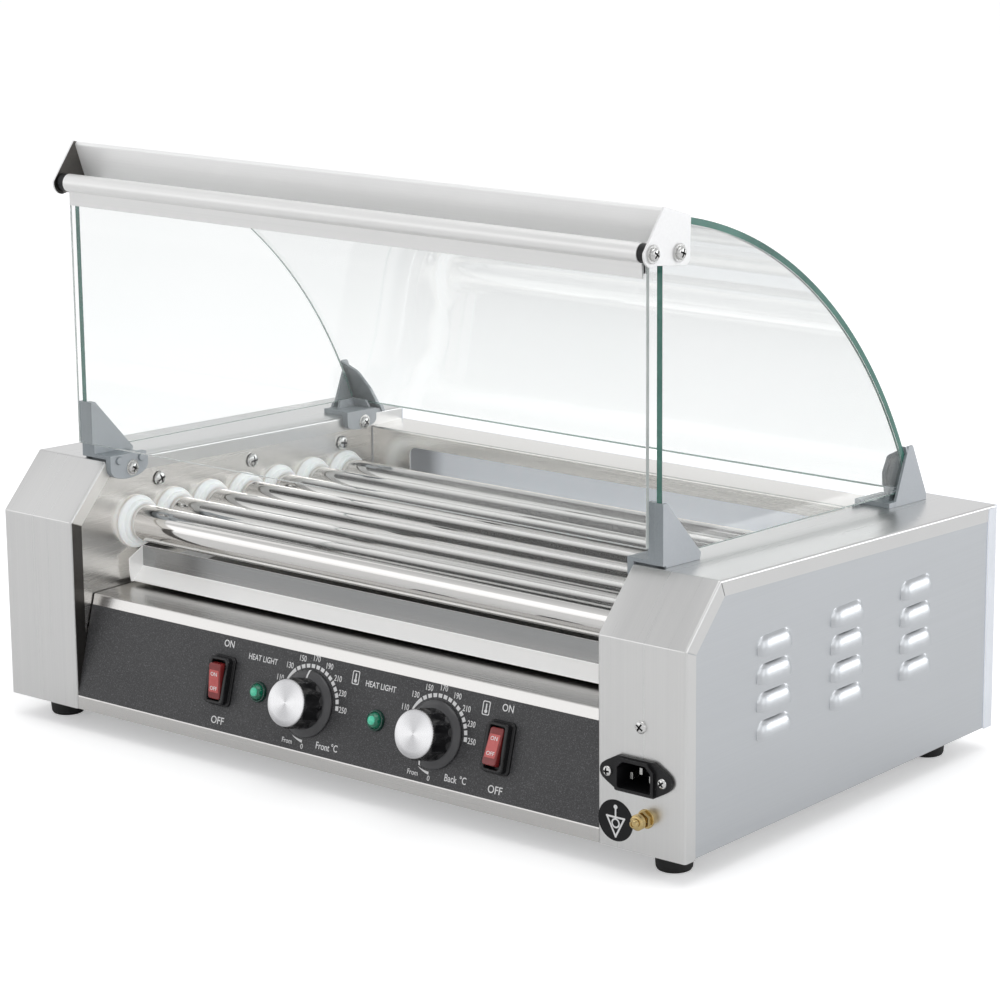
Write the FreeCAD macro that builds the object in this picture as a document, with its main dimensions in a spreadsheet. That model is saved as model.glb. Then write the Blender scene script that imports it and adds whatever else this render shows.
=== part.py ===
"""Hot dog roller grill: seven driven rollers between two housings, under a glass hood.

The row frame has +Z up, +X along the rollers and the front at -Y. The origin lies under the
middle of the grill, at the height of the feet. Places are given from the front left bottom corner
of the left housing, and the cells frame_x, frame_y and frame_z carry them to the row frame.
"""
import FreeCAD, Part
import math
import os
import Sketcher

V = FreeCAD.Vector
ROLLER_COUNT = 7
STEP_FOLDER = "parts"

DIMENSIONS = {
    "total_width": 570.0, "depth": 340.0, "housing_width": 64.0,
    "front_height": 129.0, "chamfer_depth": 34.0, "chamfer_top": 164.4, "rear_height": 149.7,
    "gauge": 1.0, "lip_width": 10.0, "rear_lip": 9.0,
    "foot_height": 15.0, "foot_radius": 12.5, "foot_inset_x": 27.0, "foot_front_y": 26.0,
    "foot_rear_y": 304.0,
    "frame_x": -285.0, "frame_y": -162.4, "frame_z": 15.0,
    "roller_radius": 12.5, "roller_wall": 1.2, "roller_pitch": 35.5, "first_roller_y": 62.0,
    "first_roller_z": 118.0, "roller_drop": 1.3, "tube_start_x": 38.0,
    "bushing_flange_radius": 18.0, "bushing_hub_radius": 15.5, "bushing_neck_radius": 14.9,
    "running_gap": 0.05,
    "ledge_height": 76.4, "ledge_front_y": 19.6, "ledge_depth": 48.0, "panel_lip": 8.5,
    "panel_foot_y": 0.8, "overlay_gauge": 0.4, "overlay_top": 7.4, "overlay_height": 62.2,
    "rear_wall_y": 306.5, "rear_ledge_height": 141.0,
    "tray_left_x": 68.0, "tray_front_y": 49.8, "tray_wall_y": 61.2, "tray_rear_y": 300.0,
    "tray_floor_z": 76.7, "tray_lip_top": 87.2, "tray_wall_top": 102.0, "tray_side_top": 89.0,
    "glass": 4.0, "glass_side_x": 44.0, "glass_front_y": 36.0, "hood_radius": 341.0,
    "hood_centre_y": -9.2, "hood_centre_z": 35.6,
    "hinge_y": 24.5, "hinge_z": 352.5, "hinge_radius": 5.5, "pane_gauge": 3.0, "pane_front_y": 26.0,
    "pane_bottom_z": 177.0,
    "sprocket_teeth": 15.0, "motor_teeth": 12.0, "chain_pitch": 6.35, "sprocket_width": 2.6,
    "sprocket_x": 43.8, "motor_y": 168.0, "motor_z": 58.0,
    "knob_skirt_radius": 21.5, "knob_radius": 16.5, "knob_height": 20.0, "stem_radius": 3.0,
    "inlet_x": 535.5, "inlet_z": 47.8, "inlet_screw_spacing": 40.0,
    "terminal_x": 541.5, "terminal_z": 22.6, "screw_radius": 1.9,
}

doc = FreeCAD.newDocument("hot_dog_roller_grill")
sheet = doc.addObject("Spreadsheet::Sheet", "dims")
for row, (alias, value) in enumerate(DIMENSIONS.items(), start=1):
    sheet.set(f"A{row}", alias)
    sheet.set(f"B{row}", str(value))
    sheet.setAlias(f"B{row}", alias)
doc.recompute()


class Dims:
    """Reads a driving dimension from the sheet by its alias."""

    def __getattr__(self, alias):
        return float(sheet.get(alias))


d = Dims()
NODES = {}

# Turns that carry a shape drawn in its own XY plane to where it stands.
FLAT = FreeCAD.Rotation()
TO_X = FreeCAD.Rotation(0.5, 0.5, 0.5, 0.5)         # drawn in YZ, raised along +X
TO_FRONT = FreeCAD.Rotation(V(1, 0, 0), 90)         # drawn in XZ, raised along -Y
PANEL_LEAN = math.degrees(math.atan2(d.ledge_front_y - d.panel_foot_y, d.ledge_height - d.panel_lip))
TO_PANEL = FreeCAD.Rotation(V(1, 0, 0), 90 - PANEL_LEAN)
TO_MINUS_X = TO_X.multiply(FreeCAD.Rotation(V(0, 1, 0), 180))


# ---------------------------------------------------------------- helpers

def place(obj, at, turn=FLAT):
    """Stands obj at a point given from the housing's corner, bound to the frame cells."""
    obj.Placement = FreeCAD.Placement(V(), turn)
    for axis, offset in zip("xyz", at):
        obj.setExpression(f"Placement.Base.{axis}", f"dims.frame_{axis} + ({offset})")
    return obj


def on_panel(x, drop, lift=0.0):
    """The point on the control panel's face, drop below its top edge and lift proud of it."""
    lean = math.radians(PANEL_LEAN)
    y = d.ledge_front_y - drop * math.sin(lean) - lift * math.cos(lean)
    z = d.ledge_height - drop * math.cos(lean) + lift * math.sin(lean)
    return (x, y, z)


def outline_sketch(name, outline):
    """A closed outline: points, with ("via", x, y) between two points for an arc through it."""
    points = [item for item in outline if item[0] != "via"]
    via = {}
    count = 0
    for item in outline:
        if item[0] == "via":
            via[count - 1] = item[1:]
        else:
            count += 1
    sketch = doc.addObject("Sketcher::SketchObject", name)
    for i, start in enumerate(points):
        end = points[(i + 1) % len(points)]
        if i in via:
            sketch.addGeometry(Part.Arc(V(*start, 0), V(*via[i], 0), V(*end, 0)))
        else:
            sketch.addGeometry(Part.LineSegment(V(*start, 0), V(*end, 0)))
    return sketch


def prism(name, outline, length, at, turn=TO_X):
    """An outline raised by a length that is bound to the sheet."""
    solid = doc.addObject("Part::Extrusion", name)
    solid.Base = outline_sketch(name + "_outline", outline)
    solid.DirMode = "Normal"
    solid.Solid = True
    solid.setExpression("LengthFwd", str(length))
    return place(solid, at, turn)


def turned(name, profile, at, turn=TO_X):
    """A profile of (radius, height) points turned about the axis that turn points along."""
    solid = doc.addObject("Part::Revolution", name)
    sketch = outline_sketch(name + "_profile", profile)
    sketch.Placement = FreeCAD.Placement(V(), FreeCAD.Rotation(V(1, 0, 0), 90))
    solid.Source = sketch
    solid.Axis = V(0, 0, 1)
    solid.Angle = 360
    solid.Solid = True
    return place(solid, at, turn)


def box(name, size, at, turn=FLAT):
    solid = doc.addObject("Part::Box", name)
    for prop, value in zip(("Length", "Width", "Height"), size):
        solid.setExpression(prop, str(value))
    return place(solid, at, turn)


def cylinder(name, radius, height, at, turn=TO_X):
    solid = doc.addObject("Part::Cylinder", name)
    solid.setExpression("Radius", str(radius))
    solid.setExpression("Height", str(height))
    return place(solid, at, turn)


def fuse(name, solids):
    result = doc.addObject("Part::MultiFuse", name)
    result.Shapes = solids
    return result


def group(name, solids):
    result = doc.addObject("Part::Compound", name)
    result.Links = solids
    return result


def cut(name, base, tools):
    result = doc.addObject("Part::Cut", name)
    result.Base = base
    result.Tool = tools[0] if len(tools) == 1 else group(name + "_tools", tools)
    return result


def mirrored(name, source):
    """The same piece on the other side of the grill's middle plane."""
    result = doc.addObject("Part::Mirroring", name)
    result.Source = source
    result.Base = V(0, 0, 0)
    result.Normal = V(1, 0, 0)
    return result


def node(label, obj):
    obj.Label = label
    NODES[label] = obj
    return obj


def rounded_rectangle(x0, y0, x1, y1, radius):
    """An outline with four round corners."""
    inner = radius * (1 - math.sqrt(0.5))
    return [(x0 + radius, y0), (x1 - radius, y0), ("via", x1 - inner, y0 + inner), (x1, y0 + radius),
            (x1, y1 - radius), ("via", x1 - inner, y1 - inner), (x1 - radius, y1), (x0 + radius, y1),
            ("via", x0 + inner, y1 - inner), (x0, y1 - radius), (x0, y0 + radius),
            ("via", x0 + inner, y0 + inner)]


def top_z(y):
    """Height of the housings' sloping top at depth y."""
    fall = (d.chamfer_top - d.rear_height) / (d.depth - d.chamfer_depth)
    return d.chamfer_top - fall * (y - d.chamfer_depth)


def housing_profile(inset, rear, bottom):
    """The housing's side outline in Y and Z, its front, chamfer and top moved in by inset."""
    chamfer = V(d.chamfer_depth, d.chamfer_top - d.front_height, 0).normalize()
    top = V(d.depth - d.chamfer_depth, d.rear_height - d.chamfer_top, 0).normalize()
    corner = V(0, d.front_height, 0) + V(chamfer.y, -chamfer.x, 0) * inset
    front_top = corner.y + (inset - corner.x) * chamfer.y / chamfer.x
    ridge = V(d.chamfer_depth, d.chamfer_top, 0) + V(top.y, -top.x, 0) * inset
    chamfer_slope = chamfer.y / chamfer.x
    top_slope = top.y / top.x
    y = (ridge.y - corner.y + chamfer_slope * corner.x - top_slope * ridge.x) / (chamfer_slope - top_slope)
    z = corner.y + chamfer_slope * (y - corner.x)
    rear_z = ridge.y + top_slope * (rear - ridge.x)
    return [(inset, bottom), (inset, front_top), (y, z), (rear, rear_z), (rear, bottom)]


def roller_y(i):
    return d.first_roller_y + i * d.roller_pitch


def roller_z(i):
    return d.first_roller_z - i * d.roller_drop


def hood_y(radius, z):
    """Depth at which an arc about the hood's centre reaches height z."""
    return d.hood_centre_y + math.sqrt(radius ** 2 - (z - d.hood_centre_z) ** 2)


def hood_z(radius, y):
    return d.hood_centre_z + math.sqrt(radius ** 2 - (y - d.hood_centre_y) ** 2)


def hood_point(radius, angle):
    return (d.hood_centre_y + radius * math.cos(angle), d.hood_centre_z + radius * math.sin(angle))


# ---------------------------------------------------------------- base and feet

def build_base_plate():
    """The bottom sheet, with two rows of ventilation slots and a hole over each foot."""
    body = doc.addObject("PartDesign::Body", "base_plate_body")
    plane = next(o for o in body.Origin.OriginFeatures if o.Role == "XY_Plane")
    edge = 2 * d.gauge
    sheet_sketch = body.newObject("Sketcher::SketchObject", "base_outline")
    sheet_sketch.AttachmentSupport = (plane, "")
    sheet_sketch.MapMode = "FlatFace"
    corners = [(edge, edge), (d.total_width - edge, edge), (d.total_width - edge, d.depth - edge),
               (edge, d.depth - edge)]
    for a, b in zip(corners, corners[1:] + corners[:1]):
        sheet_sketch.addGeometry(Part.LineSegment(V(*a, 0), V(*b, 0)))
    for x in (d.foot_inset_x, d.total_width - d.foot_inset_x):
        for y in (d.foot_front_y, d.foot_rear_y):
            sheet_sketch.addGeometry(Part.Circle(V(x, y, 0), V(0, 0, 1), 2.1))
    pad = body.newObject("PartDesign::Pad", "base_sheet")
    pad.Profile = sheet_sketch
    pad.setExpression("Length", "dims.gauge")
    doc.recompute()
    slot_sketch = body.newObject("Sketcher::SketchObject", "vent_slot")
    slot_sketch.AttachmentSupport = (plane, "")
    slot_sketch.MapMode = "FlatFace"
    slot_x, half_length, radius = 110.0, 15.0, 3.0
    for slot_y in (115.0, 225.0):
        low, high = slot_y - half_length, slot_y + half_length
        left, right = slot_x - radius, slot_x + radius
        slot_sketch.addGeometry(Part.LineSegment(V(left, low, 0), V(left, high, 0)))
        slot_sketch.addGeometry(Part.Arc(V(left, high, 0), V(slot_x, high + radius, 0), V(right, high, 0)))
        slot_sketch.addGeometry(Part.LineSegment(V(right, high, 0), V(right, low, 0)))
        slot_sketch.addGeometry(Part.Arc(V(right, low, 0), V(slot_x, low - radius, 0), V(left, low, 0)))
    slot = body.newObject("PartDesign::Pocket", "vent_pocket")
    slot.Profile = slot_sketch
    slot.Type = "ThroughAll"
    slot.Midplane = True
    row_pattern = body.newObject("PartDesign::LinearPattern", "vent_row")
    row_pattern.Originals = [slot]
    row_pattern.Direction = (slot_sketch, ["H_Axis"])
    row_pattern.Length = 350.0
    row_pattern.Occurrences = 15
    body.Tip = row_pattern
    place(body, (0, 0, 0))
    node("base_plate", body)


def build_feet():
    """Tapered rubber feet, each with a recess for its screw."""
    feet = []
    height = d.foot_height
    profile = [(2.1, 0), (d.foot_radius, 0), (d.foot_radius, -2), (d.foot_radius - 1.5, -height + 1),
               (d.foot_radius - 2.5, -height), (5.0, -height), (5.0, -height + 6), (2.1, -height + 6)]
    for i, x in enumerate((d.foot_inset_x, d.total_width - d.foot_inset_x)):
        for j, y in enumerate((d.foot_front_y, d.foot_rear_y)):
            feet.append(turned(f"foot_{i}{j}", profile, (x, y, 0), FLAT))
    node("rubber_feet", group("feet", feet))


# ---------------------------------------------------------------- housings

def build_housing_covers():
    """Front, chamfer and top folded from one sheet, with a narrow lip down each open side."""
    wide = d.housing_width + 2
    outer = prism("cover_outer", housing_profile(0, d.depth - d.gauge, 0), "dims.housing_width", (0, 0, 0))
    inside = prism("cover_inside", housing_profile(d.gauge, d.depth + 1, -1),
                   "dims.housing_width - 2 * dims.gauge", ("dims.gauge", 0, 0))
    open_sides = prism("cover_open_sides", housing_profile(d.lip_width, d.depth + 1, -1), wide, (-1, 0, 0))
    rear_notch = box("cover_rear_notch", (1 + d.gauge, d.rear_lip + 1, d.rear_height - 1.3),
                     (-1, d.depth - d.rear_lip, 0))
    left = cut("left_cover_cut", outer, [inside, open_sides, rear_notch])
    node("left_housing_cover", left)
    right = mirrored("right_cover_mirror", left)
    # Openings in the right cover's front: the appliance inlet, its two screws, the earth stud.
    window = box("inlet_window", (28.0, 12.0, 20.6), (d.inlet_x - 14.0, -5, d.inlet_z - 10.3))
    half = d.inlet_screw_spacing / 2
    holes = [cylinder(f"inlet_screw_hole_{side}", 1.8, 12, (d.inlet_x + offset, 5, d.inlet_z), TO_FRONT)
             for side, offset in (("left", -half), ("right", half))]
    stud = cylinder("stud_hole", 3.1, 12, (d.terminal_x, 5, d.terminal_z), TO_FRONT)
    node("right_housing_cover", cut("right_cover_cut", right, [window, stud] + holes))


def louvre(name, y, foot_z, inset, reach):
    """A pressed vent hood: straight foot, round top corners, and a bevel round its outer face."""
    half, top, radius = 17.0 - inset, 11.5 - inset, 9.0 - inset
    foot = -2.0 if inset else 0.0
    near = radius * (1 - math.sqrt(0.5))
    outline = [(-half, foot), (half, foot), (half, top - radius), ("via", half - near, top - near),
               (half - radius, top), (-half + radius, top), ("via", -half + near, top - near),
               (-half, top - radius)]
    block = prism(name + "_block", outline, reach + 1.0 + inset, (1.0 - reach, y, foot_z))
    doc.recompute()
    face_x = block.Shape.BoundBox.XMin
    above_foot = d.frame_z + foot_z + foot + 1

    def on_rim(edge):
        """True for an edge of the outer face, but not for the one along the open foot."""
        limits = edge.BoundBox
        return limits.XMax < face_x + 0.1 and (limits.ZLength > 0.1 or limits.ZMin > above_foot)

    rim = [i for i, edge in enumerate(block.Shape.Edges, start=1) if on_rim(edge)]
    bevel = doc.addObject("Part::Chamfer", name)
    bevel.Base = block
    bevel.Edges = [(i, 3.2 - inset, 3.2 - inset) for i in rim]
    return bevel


def build_side_panels():
    """The outer walls, each with three columns and four rows of pressed vent louvres."""
    plate = prism("side_plate", housing_profile(d.gauge, d.depth - d.gauge, d.gauge), "dims.gauge",
                  ("dims.gauge", 0, 0))
    bumps, hollows = [], []
    for column in range(3):
        for row in range(4):
            place_at = (90.0 + 77.9 * column, 109.5 - 17.5 * row)
            bumps.append(louvre(f"louvre_{column}{row}", *place_at, 0.0, 4.0))
            hollows.append(louvre(f"louvre_hollow_{column}{row}", *place_at, 0.9, 3.1))
    left = cut("left_side_cut", fuse("side_with_louvres", [plate] + bumps), hollows)
    node("left_side_panel", left)
    node("right_side_panel", mirrored("right_side_mirror", left))


def build_inner_walls():
    """The walls that carry the rollers, one hole for each bushing's neck."""
    plate = prism("inner_plate", housing_profile(d.gauge, d.depth - d.gauge, d.gauge), "dims.gauge",
                  ("dims.housing_width - 2 * dims.gauge", 0, 0))
    holes = [cylinder(f"bushing_hole_{i + 1}", "dims.bushing_neck_radius", 4,
                      (d.housing_width - 4, roller_y(i), roller_z(i))) for i in range(ROLLER_COUNT)]
    left = cut("left_inner_cut", plate, holes)
    node("left_inner_wall", left)
    node("right_inner_wall", mirrored("right_inner_mirror", left))


def build_rear():
    """The rear cover with its side lips, and the wall with the ledge behind the rollers."""
    raised = d.rear_height - d.rear_ledge_height
    plate = box("rear_plate", ("dims.total_width", "dims.gauge", "dims.rear_height"),
                (0, "dims.depth - dims.gauge", 0))
    middle = box("rear_step", (d.total_width - 2 * d.housing_width, 3 * d.gauge, raised + 1),
                 (d.housing_width, d.depth - 2 * d.gauge, d.rear_ledge_height))
    lips = [box(f"rear_lip_{side}", ("dims.gauge", "dims.rear_lip", d.rear_height - 1.4),
                (x, "dims.depth - dims.rear_lip", 0))
            for side, x in (("left", 0), ("right", "dims.total_width - dims.gauge"))]
    node("rear_cover", cut("rear_cover_cut", fuse("rear_shell", [plate] + lips), [middle]))

    thick = d.gauge
    wall_y = d.rear_wall_y
    ledge = d.rear_ledge_height
    folded = [(wall_y, thick), (wall_y + thick, thick), (wall_y + thick, ledge - thick),
              (d.depth - thick, ledge - thick), (d.depth - thick, ledge), (wall_y, ledge)]
    wall = prism("rear_wall_sheet", folded, "dims.total_width - 2 * dims.housing_width",
                 ("dims.housing_width", 0, 0))
    slot = prism("rear_wall_slot", rounded_rectangle(99.0, 96.0, 471.0, 130.0, 6.0), 10,
                 (0, wall_y + 5, 0), TO_FRONT)
    node("rear_inner_wall", cut("rear_wall_cut", wall, [slot]))


# ---------------------------------------------------------------- panel, floor and tray

SWITCH_X = (191.0, 424.0)
LAMP_X = (223.5, 324.0)
KNOB_X = (265.5, 372.0)
CONTROL_DROP = 38.8
SWITCH_DROP = 37.0


def build_control_panel():
    """The leaning front panel with its ledge and bottom lip, then its black overlay."""
    thick = d.gauge
    lean = math.radians(PANEL_LEAN)
    back = thick / math.cos(lean)
    front = [(d.panel_foot_y, 0), (d.panel_foot_y, d.panel_lip), (d.ledge_front_y, d.ledge_height),
             (d.ledge_front_y + d.ledge_depth, d.ledge_height),
             (d.ledge_front_y + d.ledge_depth, d.ledge_height - 8),
             (d.ledge_front_y + d.ledge_depth - thick, d.ledge_height - 8),
             (d.ledge_front_y + d.ledge_depth - thick, d.ledge_height - thick),
             (d.ledge_front_y + back - thick * math.tan(lean), d.ledge_height - thick),
             (d.panel_foot_y + back, d.panel_lip),
             (d.panel_foot_y + back, 0)]
    length = "dims.total_width - 2 * dims.housing_width"
    sheet_solid = prism("panel_sheet", front, length, ("dims.housing_width", 0, 0))
    overlay = box("overlay_sheet", (length, "dims.overlay_height", "dims.overlay_gauge"),
                  on_panel(d.housing_width, d.overlay_top + d.overlay_height), TO_PANEL)
    holes = [cylinder(f"stem_hole_{i}", "dims.stem_radius + 1", 8, on_panel(x, CONTROL_DROP, -4), TO_PANEL)
             for i, x in enumerate(KNOB_X)]
    holes += [cylinder(f"lamp_hole_{i}", 5.0, 8, on_panel(x, CONTROL_DROP, -4), TO_PANEL)
              for i, x in enumerate(LAMP_X)]
    holes += [box(f"switch_hole_{i}", (17.0, 29.0, 8), on_panel(x - 8.5, SWITCH_DROP + 14.5, -4), TO_PANEL)
              for i, x in enumerate(SWITCH_X)]
    tools = group("panel_holes", holes)
    node("control_panel", cut("control_panel_cut", sheet_solid, [tools]))
    node("panel_overlay", cut("panel_overlay_cut", overlay, [tools]))


def build_bay_floor():
    """The floor of the roller bay, on which the drip tray slides, with a flange at each end."""
    front = d.ledge_front_y + d.ledge_depth
    rear = d.rear_wall_y
    thick = d.gauge
    top = d.ledge_height
    outline = [(front, top), (rear, top), (rear, top - 10), (rear - thick, top - 10),
               (rear - thick, top - thick), (front + thick, top - thick), (front + thick, top - 10),
               (front, top - 10)]
    node("bay_floor", prism("bay_floor_sheet", outline, "dims.total_width - 2 * dims.housing_width",
                            ("dims.housing_width", 0, 0)))


def build_drip_tray():
    """A shallow pan folded from one sheet: a sloping lip in front, then a wall under the first roller.

    Its end walls stand proud of the lip as cheeks, with a slanting top edge.
    """
    thick = d.gauge
    left = d.tray_left_x
    width = d.total_width - 2 * left
    floor_z = d.tray_floor_z
    top = floor_z + thick
    wall_y = d.tray_wall_y
    slope_top = d.tray_lip_top
    folded = [(d.tray_rear_y, floor_z), (d.tray_front_y, floor_z), (d.tray_front_y, top),
              (wall_y, slope_top), (wall_y, d.tray_wall_top), (wall_y + thick, d.tray_wall_top),
              (wall_y + thick, slope_top - 0.4), (d.tray_front_y + 1.6, top), (d.tray_rear_y, top)]
    pan = prism("tray_pan", folded, width, (left, 0, 0))
    rear_wall = box("tray_rear_wall", (width, thick, d.tray_side_top - floor_z),
                    (left, d.tray_rear_y - thick, floor_z))
    nose_y = d.tray_front_y - 1.2
    end_outline = [(d.tray_front_y, floor_z), (d.tray_rear_y, floor_z), (d.tray_rear_y, d.tray_side_top),
                   (wall_y + 14, d.tray_side_top), (wall_y + thick, d.tray_wall_top - 0.5),
                   (nose_y, slope_top + 8), (nose_y, slope_top - 1)]
    ends = [prism(f"tray_end_{side}", end_outline, thick, (x, 0, 0))
            for side, x in (("left", left), ("right", left + width - thick))]
    node("drip_tray", fuse("tray_shell", [pan, rear_wall] + ends))


# ---------------------------------------------------------------- rollers and drive

def sprocket(name, teeth, bore, at):
    """A chain sprocket: a root disc with teeth set round it as a polar pattern."""
    pitch_radius = d.chain_pitch / 2 / math.sin(math.pi / teeth)
    root, tip = pitch_radius - 1.65, pitch_radius + 1.6
    body = doc.addObject("PartDesign::Body", name)
    plane = next(o for o in body.Origin.OriginFeatures if o.Role == "XY_Plane")
    disc_sketch = body.newObject("Sketcher::SketchObject", name + "_disc")
    disc_sketch.AttachmentSupport = (plane, "")
    disc_sketch.MapMode = "FlatFace"
    disc_sketch.addGeometry(Part.Circle(V(), V(0, 0, 1), root))
    if bore:
        disc_sketch.addGeometry(Part.Circle(V(), V(0, 0, 1), bore))
    disc = body.newObject("PartDesign::Pad", name + "_root")
    disc.Profile = disc_sketch
    disc.setExpression("Length", "dims.sprocket_width")
    tooth_sketch = body.newObject("Sketcher::SketchObject", name + "_tooth")
    tooth_sketch.AttachmentSupport = (plane, "")
    tooth_sketch.MapMode = "FlatFace"
    corners = [(root - 0.5, -1.7), (pitch_radius, -1.1), (tip, -0.4), (tip, 0.4), (pitch_radius, 1.1),
               (root - 0.5, 1.7)]
    for a, b in zip(corners, corners[1:] + corners[:1]):
        tooth_sketch.addGeometry(Part.LineSegment(V(*a, 0), V(*b, 0)))
    tooth = body.newObject("PartDesign::Pad", name + "_tooth_pad")
    tooth.Profile = tooth_sketch
    tooth.setExpression("Length", "dims.sprocket_width")
    doc.recompute()
    ring = body.newObject("PartDesign::PolarPattern", name + "_ring")
    ring.Originals = [tooth]
    ring.Axis = (disc_sketch, ["N_Axis"])
    ring.Angle = 360
    ring.Occurrences = int(teeth)
    body.Tip = ring
    return place(body, at, TO_X)


def build_rollers():
    """Seven tubes in bushings, each with a sprocket fixed on its left end."""
    length = "dims.total_width - 2 * dims.tube_start_x"
    for i in range(ROLLER_COUNT):
        at = ("dims.tube_start_x", roller_y(i), roller_z(i))
        tube = cylinder(f"tube_{i + 1}_outside", "dims.roller_radius", length, at)
        bore = cylinder(f"tube_{i + 1}_bore", "dims.roller_radius - dims.roller_wall", length, at)
        node(f"roller_tube_{i + 1}", cut(f"tube_{i + 1}", tube, [bore]))
        node(f"roller_sprocket_{i + 1}",
             sprocket(f"sprocket_{i + 1}_body", d.sprocket_teeth, d.roller_radius,
                      ("dims.sprocket_x", roller_y(i), roller_z(i))))


def build_bushings():
    """Stepped bushings: a flange on the wall, a smaller hub, and a neck through the wall."""
    bore = d.roller_radius + d.running_gap
    face = d.housing_width - d.gauge
    profile = [(bore, -6), (d.bushing_neck_radius, -6), (d.bushing_neck_radius, 0),
               (d.bushing_flange_radius, 0), (d.bushing_flange_radius, 3), (d.bushing_hub_radius, 4),
               (d.bushing_hub_radius, 7.5), (d.bushing_hub_radius - 0.5, 8), (bore, 8)]
    left = [turned(f"bushing_{i + 1}", profile, (face, roller_y(i), roller_z(i)))
            for i in range(ROLLER_COUNT)]
    ring = node("left_roller_bushings", group("left_bushings", left))
    node("right_roller_bushings", mirrored("right_bushings", ring))


def build_heaters():
    """Sheathed rods that stand still inside the tubes, held by a plate in each housing."""
    plate_x = 26.0
    rods = [cylinder(f"heater_rod_{i + 1}", 4.0, d.total_width - 2 * (plate_x - 12),
                     (plate_x - 12, roller_y(i), roller_z(i))) for i in range(ROLLER_COUNT)]
    node("heater_rods", group("rods", rods))
    first, last = roller_y(0) - 10, roller_y(ROLLER_COUNT - 1) + 10
    slope = -d.roller_drop / d.roller_pitch
    drop = slope * (last - first)
    low, high = roller_z(0) - 10, roller_z(0) + 32
    plate = prism("holder_sheet", [(first, low), (last, low + drop), (last, high + drop), (first, high)],
                  1.5, (plate_x, 0, 0))
    holes = [cylinder(f"rod_hole_{i + 1}", 4.0, 6, (plate_x - 2, roller_y(i), roller_z(i)))
             for i in range(ROLLER_COUNT)]
    spacers = []
    for i in (0, 3, 6):
        y = roller_y(i)
        spacers.append(cylinder(f"holder_spacer_{i}", 2.5, d.housing_width - 2 * d.gauge - plate_x - 1.5,
                                (plate_x + 1.5, y, roller_z(i) + 28)))
    left = fuse("left_holder", [cut("left_holder_cut", plate, holes)] + spacers)
    node("heater_holders", group("holders", [left, mirrored("right_holder", left)]))


def belt_outline(circles, extra):
    """A tight loop of lines and arcs round circles (y, z, radius), grown outwards by extra."""
    count = len(circles)
    touching = []
    for i in range(count):
        y0, z0, r0 = circles[i]
        y1, z1, r1 = circles[(i + 1) % count]
        span = math.hypot(y1 - y0, z1 - z0)
        heading = math.atan2(z1 - z0, y1 - y0)
        touching.append(heading + math.pi / 2 + math.asin((r1 - r0) / span))

    def rim(i, angle):
        y, z, radius = circles[i % count]
        return (y + (radius + extra) * math.cos(angle), z + (radius + extra) * math.sin(angle))

    outline = []
    for i in range(count):
        turn = (touching[i] - touching[(i + 1) % count]) % (2 * math.pi)
        middle = ("via", *rim(i + 1, touching[i] - turn / 2))
        outline += [rim(i, touching[i]), rim(i + 1, touching[i]), middle]
    return outline


def build_drive():
    """Gear motor on its bracket, the motor's sprocket on its shaft, and the chain loop."""
    shaft_radius = 4.0
    y, z = d.motor_y, d.motor_z
    gearbox = box("gearbox_case", (26, 62, 62), (10, y - 31, z - 31))
    can = cylinder("motor_can", 24, 6, (4, y, z))
    shaft_bore = cylinder("gearbox_bore", shaft_radius + d.running_gap, 16, (22, y, z))
    node("gear_motor", cut("gear_motor_cut", fuse("gear_motor_shell", [gearbox, can]), [shaft_bore]))
    upright = box("bracket_upright", (1.5, 76, z + 33), (36, y - 38, d.gauge))
    foot = box("bracket_foot", (12, 76, 1.5), (36, y - 38, d.gauge))
    window = cylinder("bracket_window", 9, 6, (34, y, z))
    node("motor_bracket", cut("bracket_cut", fuse("bracket_shell", [upright, foot]), [window]))

    wheel = sprocket("motor_wheel_body", d.motor_teeth, 0, ("dims.sprocket_x", y, z))
    shaft = cylinder("motor_shaft", shaft_radius, 24, (24, y, z))
    node("motor_sprocket", fuse("motor_wheel", [wheel, shaft]))

    # The chain's pins run just outside the tips of the teeth.
    def clear_radius(teeth):
        return d.chain_pitch / 2 / math.sin(math.pi / teeth) + 1.6 + 1.5

    last = ROLLER_COUNT - 1
    circles = [(roller_y(0), roller_z(0), clear_radius(d.sprocket_teeth)),
               (roller_y(last), roller_z(last), clear_radius(d.sprocket_teeth)),
               (y, z, clear_radius(d.motor_teeth))]
    half_plate = 2.3
    middle = d.sprocket_x + d.sprocket_width / 2
    plate_gauge, half_width = 0.8, 2.2
    solids = []
    for i, x in enumerate((middle - half_width - plate_gauge, middle + half_width)):
        outer = prism(f"chain_outer_{i}", belt_outline(circles, half_plate), plate_gauge, (x, 0, 0))
        inner = prism(f"chain_inner_{i}", belt_outline(circles, -half_plate), plate_gauge, (x, 0, 0))
        solids.append(cut(f"chain_side_{i}", outer, [inner]))
    curves = outline_sketch("chain_path", belt_outline(circles, 0)).Geometry
    path = Part.Wire([curve.toShape() for curve in curves])
    links = int(path.Length / (2 * d.chain_pitch))
    for i, point in enumerate(path.discretize(Number=links + 1)[:-1]):
        solids.append(cylinder(f"chain_pin_{i}", 1.0, 2 * half_width + plate_gauge,
                               (middle - half_width - plate_gauge / 2, point.x, point.y)))
    chain = fuse("chain_loop", solids)
    node("drive_chain", chain)


# ---------------------------------------------------------------- controls

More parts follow.
